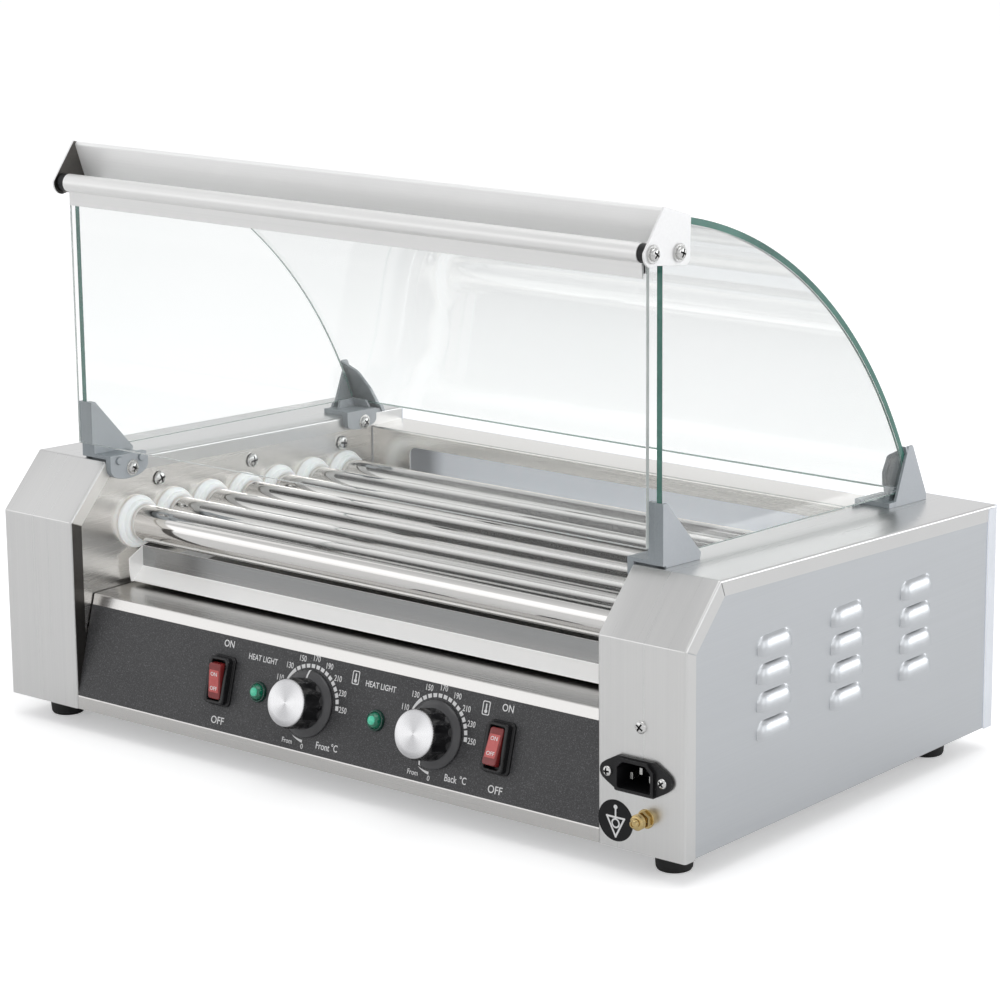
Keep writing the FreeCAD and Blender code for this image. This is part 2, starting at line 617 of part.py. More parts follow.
def build_knobs():
    """Two knobs: a skirt and a fluted grip on a stem, each with an aluminium cap."""
    skirt, grip, height = d.knob_skirt_radius, d.knob_radius, d.knob_height
    base = d.overlay_gauge + 0.5
    for name, x in (("front", KNOB_X[0]), ("back", KNOB_X[1])):
        body = doc.addObject("PartDesign::Body", f"{name}_knob_body")
        planes = {o.Role: o for o in body.Origin.OriginFeatures}
        profile = body.newObject("Sketcher::SketchObject", f"{name}_knob_profile")
        profile.AttachmentSupport = (planes["XZ_Plane"], "")
        profile.MapMode = "FlatFace"
        corners = [(0, -14), (d.stem_radius, -14), (d.stem_radius, base), (skirt, base),
                   (skirt, base + 1.2), (grip + 1.0, base + 3.2), (grip, base + 4.0),
                   (grip, height - 1.2), (grip - 1.2, height), (0, height)]
        for a, b in zip(corners, corners[1:] + corners[:1]):
            profile.addGeometry(Part.LineSegment(V(*a, 0), V(*b, 0)))
        turning = body.newObject("PartDesign::Revolution", f"{name}_knob_turning")
        turning.Profile = profile
        turning.ReferenceAxis = (profile, ["V_Axis"])
        turning.Angle = 360
        doc.recompute()
        flute_sketch = body.newObject("Sketcher::SketchObject", f"{name}_knob_flute")
        flute_sketch.AttachmentSupport = (planes["XY_Plane"], "")
        flute_sketch.MapMode = "FlatFace"
        flute_sketch.AttachmentOffset = FreeCAD.Placement(V(0, 0, base + 4.5), FreeCAD.Rotation())
        flute_sketch.addGeometry(Part.Circle(V(grip + 2.2, 0, 0), V(0, 0, 1), 3.4))
        flute = body.newObject("PartDesign::Pocket", f"{name}_knob_flute_cut")
        flute.Profile = flute_sketch
        flute.Type = "Length"
        flute.Reversed = True
        flute.Length = height
        doc.recompute()
        flutes = body.newObject("PartDesign::PolarPattern", f"{name}_knob_flutes")
        flutes.Originals = [flute]
        flutes.Axis = (flute_sketch, ["N_Axis"])
        flutes.Angle = 360
        flutes.Occurrences = 12
        body.Tip = flutes
        place(body, on_panel(x, CONTROL_DROP), TO_PANEL)
        node(f"{name}_knob", body)
        cap = [(0, 0), (grip - 1.3, 0), (grip - 1.3, 0.8), (grip - 2.0, 1.4), (grip - 4.0, 1.7), (0, 1.7)]
        node(f"{name}_knob_cap", turned(f"{name}_cap", cap, on_panel(x, CONTROL_DROP, height), TO_PANEL))


def build_switches():
    """Two rocker switches: a housing with a well, and a red rocker on two small trunnions."""
    frames, wide, tall, rise = [], 20.0, 33.0, 7.0
    well_wide, well_tall, pivot = 12.6, 27.4, 4.0
    for i, x in enumerate(SWITCH_X):
        bezel = prism(f"bezel_{i}", rounded_rectangle(-wide / 2, -tall / 2, wide / 2, tall / 2, 4.0),
                      rise - d.overlay_gauge, on_panel(x, SWITCH_DROP, d.overlay_gauge), TO_PANEL)
        rear = box(f"switch_rear_{i}", (16.6, 28.6, 22), on_panel(x - 8.3, SWITCH_DROP + 14.3, -21),
                   TO_PANEL)
        well = box(f"switch_well_{i}", (well_wide, well_tall, 12),
                   on_panel(x - well_wide / 2, SWITCH_DROP + well_tall / 2, -1.5), TO_PANEL)
        seats = cylinder(f"switch_seats_{i}", 1.5 + d.running_gap, well_wide + 2.4,
                         on_panel(x - well_wide / 2 - 1.2, SWITCH_DROP, pivot))
        frames.append(cut(f"switch_frame_{i}", fuse(f"switch_block_{i}", [bezel, rear]), [well, seats]))
    node("switch_housings", group("switch_frames", frames))
    for name, x, tilt in (("left", SWITCH_X[0], 10.0), ("right", SWITCH_X[1], -10.0)):
        # Drawn across the rocker, then tilted about its pivot to where the switch stands.
        outline = [(-12, -1), (12, -1), (12.4, 6.4), (0, 5.2), (-12.4, 6.4)]
        turn = FreeCAD.Rotation(V(1, 0, 0), 90 - PANEL_LEAN + tilt).multiply(TO_X)
        face = prism(f"{name}_rocker_block", outline, 11.6, on_panel(x - 5.8, SWITCH_DROP, pivot), turn)
        pins = cylinder(f"{name}_rocker_pins", 1.5, well_wide + 2,
                        on_panel(x - well_wide / 2 - 1, SWITCH_DROP, pivot))
        node(f"{name}_rocker", fuse(f"{name}_rocker_shell", [face, pins]))


def build_lamps():
    """Two indicator lamps, each a bezel on the panel with a domed lens and a body behind."""
    lamps = []
    gauge = d.overlay_gauge
    # The lens is part of a ball whose centre lies on the lamp's axis.
    centre, lens_radius, lens_foot = 0.6, 5.2, 3.0
    ball = math.hypot(lens_radius, lens_foot - centre)
    middle = (math.atan2(lens_foot - centre, lens_radius) + math.pi / 2) / 2
    for i, x in enumerate(LAMP_X):
        dome = ("via", ball * math.cos(middle), centre + ball * math.sin(middle))
        profile = [(0, -18), (4.9, -18), (4.9, gauge), (6.8, gauge), (6.8, 2.2), (6.0, lens_foot),
                   (lens_radius, lens_foot), dome, (0, centre + ball)]
        lamps.append(turned(f"lamp_{i}", profile, on_panel(x, CONTROL_DROP), TO_PANEL))
    node("indicator_lamps", group("lamps", lamps))


def build_electrics():
    """Thermostats behind the knobs, appliance inlet with pins, earth stud, terminal block."""
    cases = []
    for i, x in enumerate(KNOB_X):
        bore = d.stem_radius + d.running_gap
        profile = [(bore, -1.1), (bore, -20), (17, -20), (17, -4), (6, -4), (6, -1.1)]
        cases.append(turned(f"thermostat_{i}", profile, on_panel(x, CONTROL_DROP), TO_PANEL))
    node("thermostats", group("thermostat_cases", cases))

    x, z = d.inlet_x, d.inlet_z
    flange = [(-13, -11), (13, -11), (20, -6), ("via", 26, 0), (20, 6), (13, 11), (-13, 11), (-20, 6),
              ("via", -26, 0), (-20, -6)]
    plate = prism("inlet_flange", flange, 3, (x, 0, z), TO_FRONT)
    rear = box("inlet_rear", (27.6, 24, 20.2), (x - 13.8, 0, z - 10.1))
    cavity_outline = [(-12.2, -8.2), (12.2, -8.2), (12.2, 4.2), (8.2, 8.2), (-8.2, 8.2), (-12.2, 4.2)]
    cavity = prism("inlet_cavity", cavity_outline, 24, (x, 20, z), TO_FRONT)
    half = d.inlet_screw_spacing / 2
    holes = [cylinder(f"flange_hole_{side}", 1.8, 12, (x + offset, 5, z), TO_FRONT)
             for side, offset in (("left", -half), ("right", half))]
    node("power_inlet", cut("inlet_cut", fuse("inlet_shell", [plate, rear]), [cavity] + holes))
    pins = [box(f"inlet_pin_{i}", (2, 25, 4), (x + dx - 1, 3, z + dz - 2))
            for i, (dx, dz) in enumerate(((-7, -2), (0, 2), (7, -2)))]
    node("inlet_pins", group("pins", pins))

    x, z = d.terminal_x, d.terminal_z
    stud = cylinder("earth_stud", 3, 26.7, (x, 12, z), TO_FRONT)
    corners = [math.radians(60 * k) for k in range(6)]
    hexagon = [(5.8 * math.cos(angle), 5.8 * math.sin(angle)) for angle in corners]
    nuts = [prism(f"earth_nut_{i}", hexagon, 4, (x, y, z), TO_FRONT) for i, y in enumerate((-0.8, 5.0))]
    washer = cylinder("earth_washer", 6.5, 0.8, (x, 0, z), TO_FRONT)
    node("earth_terminal", fuse("terminal_stack", [stud, washer] + nuts))
    block = box("terminal_case", (14, 50, 16), (d.total_width - 34, 90, d.gauge))
    wells = [cylinder(f"terminal_well_{i}", 2.5, 8, (d.total_width - 27, 99 + 8 * i, 11), FLAT)
             for i in range(5)]
    node("terminal_block", cut("terminal_cut", block, wells))


# ---------------------------------------------------------------- hood

def build_side_glass():
    """Flat side panes: upright front edge, sloping foot and a round rear edge."""
    radius = d.hood_radius - d.glass
    front = d.glass_front_y
    foot = top_z(front) + 5.6
    rear_z = 159.6
    notch_z, notch_y = 356.0, front + 11
    start = math.atan2(rear_z - d.hood_centre_z, hood_y(radius, rear_z) - d.hood_centre_y)
    end = math.atan2(hood_z(radius, notch_y) - d.hood_centre_z, notch_y - d.hood_centre_y)
    outline = [(front, foot), hood_point(radius, start), ("via", *hood_point(radius, (start + end) / 2)),
               hood_point(radius, end), (notch_y, notch_z), (front, notch_z)]
    left = prism("left_glass", outline, "dims.glass", ("dims.glass_side_x", 0, 0))
    node("left_side_glass", left)
    node("right_side_glass", mirrored("right_glass", left))


def build_curved_cover():
    """The bent rear pane, resting on the round edges of the side panes."""
    outer, inner = d.hood_radius, d.hood_radius - d.glass + 0.02
    low, high_y = 160.0, 48.0
    start = math.atan2(low - d.hood_centre_z, hood_y(outer, low) - d.hood_centre_y)
    end = math.atan2(hood_z(outer, high_y) - d.hood_centre_z, high_y - d.hood_centre_y)
    middle = (start + end) / 2
    outline = [hood_point(outer, start), ("via", *hood_point(outer, middle)), hood_point(outer, end),
               hood_point(inner, end), ("via", *hood_point(inner, middle)), hood_point(inner, start)]
    node("curved_cover", prism("bent_pane", outline, "dims.total_width - 2 * dims.glass_side_x",
                               ("dims.glass_side_x", 0, 0)))


RAIL_FRONT = (36.0, 378.6)
RAIL_FOOT = (42.6, 359.5)
RAIL_REAR_Y = 62.0


def build_rail():
    """The folded top rail over the curved pane, and the plate welded on each end."""
    thick = 1.4
    rear_z = hood_z(d.hood_radius, RAIL_REAR_Y) + thick + 0.1
    (front_y, front_z), (foot_y, foot_z) = RAIL_FRONT, RAIL_FOOT
    outline = [(foot_y, foot_z), (front_y, front_z), (RAIL_REAR_Y, rear_z), (RAIL_REAR_Y, rear_z - thick),
               (front_y + 1.9, front_z - 2.1), (foot_y + thick, foot_z + 0.4)]
    node("top_rail", prism("rail_sheet", outline, "dims.total_width - 2 * dims.glass_side_x",
                           ("dims.glass_side_x", 0, 0)))
    lobe = 8.0
    hinge_y, hinge_z = d.hinge_y, d.hinge_z
    plate_outline = [(front_y, front_z), (RAIL_REAR_Y, rear_z), (RAIL_REAR_Y - 0.8, 344.5),
                     ("via", RAIL_REAR_Y - 2.2, 341.7), (RAIL_REAR_Y - 6.5, 340.6), (hinge_y + 3.5, 345.2),
                     ("via", hinge_y - lobe * 0.71, hinge_z - lobe * 0.71), (hinge_y - lobe, hinge_z + 1.5)]
    plate = prism("end_plate", plate_outline, 1.5, (d.glass_side_x - 1.5, 0, 0))
    holes = [cylinder(f"end_plate_hole_{i}", radius, 6, (d.glass_side_x - 4, y, z))
             for i, (y, z, radius) in enumerate(((hinge_y, hinge_z, 2.0), (50.0, 350.0, 2.0)))]
    left = cut("left_end_plate", plate, holes)
    node("rail_end_plates", group("end_plates", [left, mirrored("right_end_plate", left)]))


def build_front_door():
    """The hinged front pane: a tubular hinge profile that grips it, with a black plug at each end."""
    y, z, radius = d.hinge_y, d.hinge_z, d.hinge_radius
    start = d.glass_side_x + 6
    length = d.total_width - 2 * start
    pane_y, pane_gauge = d.pane_front_y, d.pane_gauge
    tube = cylinder("hinge_tube", radius, length, (start, y, z))
    front_lip = box("hinge_front_lip", (length, 1.4, 13), (start, pane_y - 1.4, 337.5))
    rear_lip = box("hinge_rear_lip", (length, 1.2, 12.5), (start, pane_y + pane_gauge, 340.0))
    bore = cylinder("hinge_bore", 2.6, length, (start, y, z))
    node("hinge_profile", cut("hinge_cut", fuse("hinge_shell", [tube, front_lip, rear_lip]), [bore]))

    plug_gap = 0.4
    plug = cylinder("hinge_plug", radius + 1.2, start - d.glass_side_x - plug_gap,
                    (d.glass_side_x + plug_gap, y, z))
    tongue = cylinder("hinge_tongue", 2.6, 12, (start, y, z))
    tail = box("hinge_plug_tail", (start - d.glass_side_x - plug_gap, 4.6, 18),
               (d.glass_side_x + plug_gap, pane_y - 1.4, z - 18))
    pane_slot = box("hinge_plug_slot", (8, pane_gauge, 14), (d.glass_side_x + 3.9, pane_y, z - 19.5))
    seat = cylinder("hinge_seat", "dims.screw_radius + dims.running_gap", 9, (d.glass_side_x - 1, y, z))
    left = cut("left_plug", fuse("left_plug_shell", [plug, tongue, tail]), [seat, pane_slot])
    node("hinge_end_caps", group("plugs", [left, mirrored("right_plug", left)]))

    pane_x = d.glass_side_x + 4
    node("front_pane", box("pane", (d.total_width - 2 * pane_x, pane_gauge, z - 5.7 - d.pane_bottom_z),
                           (pane_x, pane_y, d.pane_bottom_z)))


def build_brackets():
    """Corner brackets that hold the side panes on the housings, front and rear."""
    glass_out = d.glass_side_x
    outer_x = glass_out - 2
    wall = d.housing_width
    foot_gauge = 4.0

    def along_top(y0, y1, rise):
        return [(y0, top_z(y0)), (y1, top_z(y1)), (y1, top_z(y1) + rise), (y0, top_z(y0) + rise)]

    def half_moon(y0, y1, low):
        high = top_z(y1) + foot_gauge
        return [(y0, top_z(y0) - 4), ("via", (y0 + y1) / 2, low), (y1, top_z(y1) - 4), (y1, high),
                (y0, top_z(y0) + foot_gauge)]

    # Front pair: a triangular shoe round the pane's lower front corner.
    y0, y1 = 34.6, 71.5
    apex = 203.5
    cheek = [(y0, top_z(y0)), (y1, top_z(y1)), (y1 + 1, top_z(y1) + foot_gauge), (y0 + 3.5, apex),
             (y0, apex)]
    solids = [prism("front_shoe", cheek, 11.5, (outer_x, 0, 0)),
              prism("front_arm", along_top(42, 62, foot_gauge), wall - outer_x + 4.5, (outer_x, 0, 0)),
              prism("front_tab", half_moon(34.6, 70, 150.5), 4.5, (wall, 0, 0))]
    for i, y in enumerate((42.0, 63.0)):
        solids.append(cylinder(f"front_boss_{i}", 2.6, 1.6, (wall + 4.5, y, top_z(y) + 0.5)))
    pocket = box("front_pocket", (d.glass, 40, 45), (glass_out, d.glass_front_y, top_z(y1) + 5.3))
    left = cut("left_front_bracket", fuse("left_front_shell", solids), [pocket])
    node("front_glass_brackets", group("front_brackets", [left, mirrored("right_front_bracket", left)]))

    # Rear pair: the shoe leans with the pane's round edge and stays inside the bent pane.
    y0, y1 = 284.0, 321.5
    apex_y, apex_z = 303.0, 189.5
    inner_radius = d.hood_radius - d.glass - 0.5
    cheek = [(y0, top_z(y0)), (y1, top_z(y1)), (y1, top_z(y1) + foot_gauge), (apex_y + 2.5, apex_z),
             (apex_y - 2.5, apex_z), (y0, top_z(y0) + foot_gauge)]
    ear_y, ear_z = 281.0, 184.0
    ear = [(y0 - 10, top_z(y0 - 10)), (hood_y(inner_radius, 160.0) - 1, top_z(y0 - 10)),
           (hood_y(inner_radius, 160.0) - 1, 160.0), (hood_y(inner_radius, ear_z) - 0.5, ear_z),
           ("via", ear_y + 2, ear_z + 5.5), (ear_y - 7, ear_z - 1)]
    solids = [prism("rear_cheek", cheek, 2, (outer_x, 0, 0)),
              prism("rear_ear", ear, 5.5, (glass_out + d.glass, 0, 0)),
              prism("rear_foot", along_top(y0, y1 - 2, foot_gauge), 11.5, (outer_x, 0, 0)),
              prism("rear_arm", along_top(278, 304, foot_gauge), wall - outer_x + 4.5, (outer_x, 0, 0)),
              prism("rear_tab", half_moon(274, 305.5, 142.5), 4.5, (wall, 0, 0))]
    left = fuse("left_rear_bracket", solids)
    node("rear_glass_brackets", group("rear_brackets", [left, mirrored("right_rear_bracket", left)]))


# ---------------------------------------------------------------- screws

def build_screws():
    """Pan head screws: walls, brackets, rail end plates, hinge pivots, inlet, front and feet."""
    def screw(name, at, turn, head, shank):
        profile = [(0, -shank), (d.screw_radius, -shank), (d.screw_radius, 0), (head, 0), (head, 1.0),
                   ("via", head * 0.75, 2.1),
                   (head * 0.35, 2.4), (0, 2.4)]
        return turned(name, profile, at, turn)

    wall_face = d.housing_width - d.gauge
    tab_face = d.housing_width + 4.5
    plate_face = d.glass_side_x - 1.5
    side = []
    for i, y in enumerate((85.0, 178.5, 273.0)):
        side.append(screw(f"wall_screw_{i}", (wall_face, y, top_z(y) - 18.5), TO_X, 4.0, 1.0))
    side.append(screw("front_tab_screw", (tab_face, 55.0, top_z(55) - 6), TO_X, 4.0, 4.5))
    side.append(screw("rear_tab_screw", (tab_face, 292.0, top_z(292) - 5), TO_X, 4.0, 4.5))
    washer = 1.2
    side.append(screw("rear_plate_screw", (plate_face - washer, 50.0, 350.0), TO_MINUS_X, 4.0, 2.7))
    side.append(screw("pivot_screw", (plate_face - washer, d.hinge_y, d.hinge_z), TO_MINUS_X, 4.0, 9.0))
    for i, (y, z) in enumerate(((50.0, 350.0), (d.hinge_y, d.hinge_z))):
        side.append(cylinder(f"plate_washer_{i}", 5.0, washer, (plate_face - washer, y, z)))
    foot_seat = -d.foot_height + 6
    down = FreeCAD.Rotation(V(1, 0, 0), 180)
    for i, y in enumerate((d.foot_front_y, d.foot_rear_y)):
        side.append(screw(f"foot_screw_{i}", (d.foot_inset_x, y, foot_seat), down, 4.0, 10.0))
    left = fuse("left_screws", side)
    inlet = [screw(f"inlet_screw_{i}", (d.inlet_x + dx, -3, d.inlet_z), TO_FRONT, 3.2, 4.0)
             for i, dx in enumerate((-d.inlet_screw_spacing / 2, d.inlet_screw_spacing / 2))]
    front = screw("front_screw", (d.total_width - 32.0, 0, 78.2), TO_FRONT, 4.0, 1.0)
    node("pan_head_screws", group("screws", [left, mirrored("right_screws", left), front] + inlet))


# ---------------------------------------------------------------- the whole grill

def main():
    build_base_plate()
    build_feet()
    build_housing_covers()
    build_side_panels()
    build_inner_walls()
    build_rear()
    build_control_panel()
    build_bay_floor()
    build_drip_tray()
    build_rollers()
    build_bushings()
    build_heaters()
    build_drive()
    build_knobs()
    build_switches()
    build_lamps()
    build_electrics()
    build_side_glass()
    build_curved_cover()
    build_rail()
    build_front_door()
    build_brackets()
    build_screws()
    doc.recompute()

    failed = [obj.Name for obj in doc.Objects if {"Invalid", "Error"} & set(obj.State)]
    if failed:
        raise SystemExit(f"failed objects: {failed}")
    for label, obj in NODES.items():
        shape = obj.Shape
        if shape.isNull() or not shape.isValid() or not shape.Solids:
            raise SystemExit(f"bad shape: {label}")
    os.makedirs(STEP_FOLDER, exist_ok=True)
    box_all = FreeCAD.BoundBox()
    for label, obj in NODES.items():
        obj.Shape.exportStep(f"{STEP_FOLDER}/{label}.step")
        box_all.add(obj.Shape.BoundBox)
    print(f"{len(NODES)} nodes, box {box_all}")


main()
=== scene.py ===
import math
import bmesh
import bpy
from mathutils import Matrix, Vector


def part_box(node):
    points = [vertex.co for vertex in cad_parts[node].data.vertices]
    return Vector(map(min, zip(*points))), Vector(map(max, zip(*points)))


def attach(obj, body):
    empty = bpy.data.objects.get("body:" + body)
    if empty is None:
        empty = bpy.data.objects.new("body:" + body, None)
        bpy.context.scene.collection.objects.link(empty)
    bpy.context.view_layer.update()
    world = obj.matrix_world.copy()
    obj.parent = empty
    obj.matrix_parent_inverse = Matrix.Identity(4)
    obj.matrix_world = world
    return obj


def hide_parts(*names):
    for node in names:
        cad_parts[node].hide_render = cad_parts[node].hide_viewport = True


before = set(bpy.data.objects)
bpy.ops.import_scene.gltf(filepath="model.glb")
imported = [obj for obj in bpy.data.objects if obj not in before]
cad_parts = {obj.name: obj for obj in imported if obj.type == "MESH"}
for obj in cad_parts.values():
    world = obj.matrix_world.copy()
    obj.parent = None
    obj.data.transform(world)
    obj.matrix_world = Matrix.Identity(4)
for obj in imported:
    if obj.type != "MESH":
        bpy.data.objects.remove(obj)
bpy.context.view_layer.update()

# Hot dog roller grill: materials, finer pieces over the CAD nodes, light and camera.
# Pieces are drawn in millimetres from the front left bottom corner of the left housing.

MM = 0.001
CORNER = Vector(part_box("left_housing_cover")[0])

# Sizes of the grill.
WIDTH = 570.0
DEPTH = 340.0
HOUSING = 64.0
FRONT_HEIGHT = 129.0
CHAMFER_DEPTH, CHAMFER_TOP = 34.0, 164.4
REAR_HEIGHT = 149.7
LEDGE_HEIGHT = 76.4
PANEL_TOP_Y, PANEL_FOOT_Y, PANEL_LIP = 19.6, 0.8, 8.5
PANEL_LEAN = math.atan2(PANEL_TOP_Y - PANEL_FOOT_Y, LEDGE_HEIGHT - PANEL_LIP)
OVERLAY = 0.4
ROLLER_RADIUS, ROLLER_WALL = 12.5, 1.2
HOOD_RADIUS, HOOD_Y, HOOD_Z = 341.0, -9.2, 35.6
GLASS = 4.0
GLASS_X = 44.0
HINGE_Y, HINGE_Z, HINGE_RADIUS = 24.5, 352.5, 5.9
SWITCH_X = (191.0, 424.0)
LAMP_X = (223.5, 324.0)
KNOB_X = (265.5, 372.0)
CONTROL_DROP, SWITCH_DROP = 38.8, 37.0
INLET_X, INLET_Z = 535.5, 47.8
TERMINAL_X, TERMINAL_Z = 541.5, 22.6


# ---------------------------------------------------------------- placing

def spot(x, y, z):
    """A point given in millimetres from the housing's corner, in the row frame."""
    return CORNER + MM * Vector((x, y, z))


def side_on(u, v, w):
    """Drawn in Y and Z, raised along +X."""
    return (w, u, v)


def front_on(u, v, w):
    """Drawn in X and Z, raised towards the front."""
    return (u, -w, v)


def flat_on(u, v, w):
    """Drawn in X and Y, raised upwards."""
    return (u, v, w)


def panel_on(x, drop, lift):
    """Drawn on the leaning control panel: x, drop below its top edge, lift off its face."""
    y = PANEL_TOP_Y - drop * math.sin(PANEL_LEAN) - lift * math.cos(PANEL_LEAN)
    z = LEDGE_HEIGHT - drop * math.cos(PANEL_LEAN) + lift * math.sin(PANEL_LEAN)
    return (x, y, z)


def roller_axis(i):
    """Y and Z of a roller's axis, counted from 0 at the front."""
    return (62.0 + 35.5 * i, 118.0 - 1.3 * i)


def top_z(y):
    """Height of the housings' sloping top at depth y."""
    fall = (CHAMFER_TOP - REAR_HEIGHT) / (DEPTH - CHAMFER_DEPTH)
    return CHAMFER_TOP - fall * (y - CHAMFER_DEPTH)


def hood_arc(radius, foot_z, front_y, steps):
    """The hood's curve at a radius, from a height at its foot to a depth at its front end."""
    start = math.degrees(math.asin((foot_z - HOOD_Z) / radius))
    end = math.degrees(math.acos((front_y - HOOD_Y) / radius))
    return arc((HOOD_Y, HOOD_Z), radius, start, end, steps)


# ---------------------------------------------------------------- outlines

def filleted(points, radius, steps=5):
    """The closed outline with its corners rounded.

    A point may carry its own radius as a third number.
    """
    result = []
    count = len(points)
    for i, point in enumerate(points):
        here = Vector(point[:2])
        before = Vector(points[i - 1][:2]) - here
        after = Vector(points[(i + 1) % count][:2]) - here
        wanted = point[2] if len(point) > 2 else radius
        turn = math.pi - before.angle(after)
        if turn < 0.02 or wanted <= 0:
            result.append(tuple(here))
            continue
        reach = min(wanted * math.tan(turn / 2), before.length * 0.49, after.length * 0.49)
        radius_here = reach / math.tan(turn / 2)
        start = here + before.normalized() * reach
        end = here + after.normalized() * reach
        bisector = (before.normalized() + after.normalized()).normalized()
        centre = here + bisector * math.hypot(radius_here, reach)
        first = start - centre
        last = end - centre
        for k in range(steps + 1):
            angle = first.angle_signed(last) * -(k / steps)
            result.append(tuple(centre + turned(first, angle)))
    return result


def turned(vector, angle):
    """A 2-D vector turned anticlockwise, angle in radians."""
    return Vector((vector.x * math.cos(angle) - vector.y * math.sin(angle),
                   vector.x * math.sin(angle) + vector.y * math.cos(angle)))


def arc(centre, radius, start, end, steps=24):
    """Points on an arc, angles in degrees."""
    angles = [math.radians(start + (end - start) * k / steps) for k in range(steps + 1)]
    return [(centre[0] + radius * math.cos(a), centre[1] + radius * math.sin(a)) for a in angles]


def rectangle(u0, v0, u1, v1, radius=0.0):
    """A rectangle between two corners, with rounded corners if a radius is given."""
    corners = [(u0, v0), (u1, v0), (u1, v1), (u0, v1)]
    return filleted(corners, radius, 8) if radius else corners


# ---------------------------------------------------------------- making meshes

def linked(name, data):
    """A new object in the scene."""
    obj = bpy.data.objects.new(name, data)
    bpy.context.scene.collection.objects.link(obj)
    return obj


def mesh_from(name, bm):
    """Turns a bmesh into a mesh and frees it."""
    mesh = bpy.data.meshes.new(name)
    bm.to_mesh(mesh)
    bm.free()
    return mesh


def smoothed(mesh, angle):
    """Smooth shading but for the edges sharper than the angle, in degrees."""
    mesh.shade_smooth()
    mesh.set_sharp_from_angle(angle=math.radians(angle))
    return mesh


def new_object(name, bm, angle=30.0):
    """An object from a bmesh drawn in housing millimetres, smooth but for its sharp edges."""
    bm.transform(Matrix.Translation(CORNER) @ Matrix.Scale(MM, 4))
    return linked(name, smoothed(mesh_from(name, bm), angle))


def join(target, other):
    """Adds one bmesh's geometry to another and frees it."""
    mesh = mesh_from("joined", other)
    target.from_mesh(mesh)
    bpy.data.meshes.remove(mesh)


def to_other_side(bm):
    """Mirrors a bmesh onto the other side of the grill."""
    bmesh.ops.scale(bm, vec=(-1, 1, 1), verts=bm.verts)
    bmesh.ops.translate(bm, vec=(WIDTH, 0, 0), verts=bm.verts)
    bmesh.ops.reverse_faces(bm, faces=bm.faces)


def skinned(rings, side_index=0, left_out=()):
    """A solid through rings of points, closed at both ends.

    left_out holds the side faces to leave open, as (ring, point) pairs.
    """
    bm = bmesh.new()
    loops = [[bm.verts.new(point) for point in ring] for ring in rings]
    count = len(loops[0])
    for s, (a, b) in enumerate(zip(loops, loops[1:])):
        for k in range(count):
            if (s, k) in left_out:
                continue
            j = (k + 1) % count
            face = bm.faces.new((a[k], a[j], b[j], b[k]))
            face.material_index = side_index
    bm.faces.new(loops[0][::-1])
    bm.faces.new(loops[-1])
    bmesh.ops.recalc_face_normals(bm, faces=bm.faces)
    return bm


def prism(outline, low, high, turn=side_on, side_index=0):
    """A solid between two copies of an outline; its sides may take another material."""
    return skinned([[turn(u, v, w) for u, v in outline] for w in (low, high)], side_index)


def lathe(profile, centre=(0.0, 0.0), turn=side_on, segments=64, wave=None):
    """A closed profile of (radius, height) turned about the axis through centre.

    wave(angle, radius, height) may change the radius, for flutes and ribs.
    """
    bm = bmesh.new()
    rings = []
    for radius, height in profile:
        if radius < 1e-6:
            rings.append([bm.verts.new(turn(centre[0], centre[1], height))])
            continue
        ring = []
        for k in range(segments):
            angle = 2 * math.pi * k / segments
            r = wave(angle, radius, height) if wave else radius
            ring.append(bm.verts.new(turn(centre[0] + r * math.cos(angle),
                                          centre[1] + r * math.sin(angle), height)))
        rings.append(ring)
    closed = profile[0][0] > 1e-6 or profile[-1][0] > 1e-6
    pairs = list(zip(rings, rings[1:]))
    if closed:
        pairs.append((rings[-1], rings[0]))
    for a, b in pairs:
        for k in range(segments):
            j = (k + 1) % segments
            if len(a) == 1 and len(b) == 1:
                continue
            if len(a) == 1:
                bm.faces.new((a[0], b[j], b[k]))
            elif len(b) == 1:
                bm.faces.new((a[k], a[j], b[0]))
            else:
                bm.faces.new((a[k], a[j], b[j], b[k]))
    bmesh.ops.recalc_face_normals(bm, faces=bm.faces)
    return bm


def loft(loops, turn=side_on):
    """A solid through loops of (outline, height) that have the same number of points."""
    return skinned([[turn(u, v, height) for u, v in outline] for outline, height in loops])


def folded_path(points, radius, steps=6):
    """Stations (point, inward direction) along a folded sheet's outer line, with round bends.

    Inward is to the right of the way the points run.
    """
    line = [Vector(p) for p in points]

    def inward(a, b):
        way = (b - a).normalized()
        return Vector((way.y, -way.x))

    stations = [(line[0], inward(line[0], line[1]))]
    for before, here, after in zip(line, line[1:], line[2:]):
        first, last = inward(before, here), inward(here, after)
        turn = first.angle_signed(last)
        reach = radius * math.tan(abs(turn) / 2)
        start = here + (before - here).normalized() * reach
        side = 1 if turn > 0 else -1
        centre = start + first * radius * side
        for k in range(steps + 1):
            aim = turned(first, -turn * k / steps)
            stations.append((centre - aim * radius * side, aim))
    stations.append((line[-1], inward(line[-2], line[-1])))
    return stations


def with_breaks(stations, breaks):
    """Adds stations on the first straight run, at the given distances from its start."""
    start, aim = stations[0]
    way = (stations[1][0] - start).normalized()
    return [stations[0]] + [(start + way * step, aim) for step in breaks] + stations[1:]


def folded_sheet(stations, section, windows=()):
    """A closed section of (x, inset) points carried along the stations of a folded sheet.

    windows lists (station index, x from, x to): the faces there are left out.
    """
    left_out = set()
    for station, x0, x1 in windows:
        for k, (x, inset) in enumerate(section):
            low, high = sorted((x, section[(k + 1) % len(section)][0]))
            if x0 - 0.01 <= low and high <= x1 + 0.01 and high - low > 1:
                left_out.add((station, k))
    rings = [[(x, *(base + aim * inset)) for x, inset in section] for base, aim in stations]
    return skinned(rings, 0, left_out)


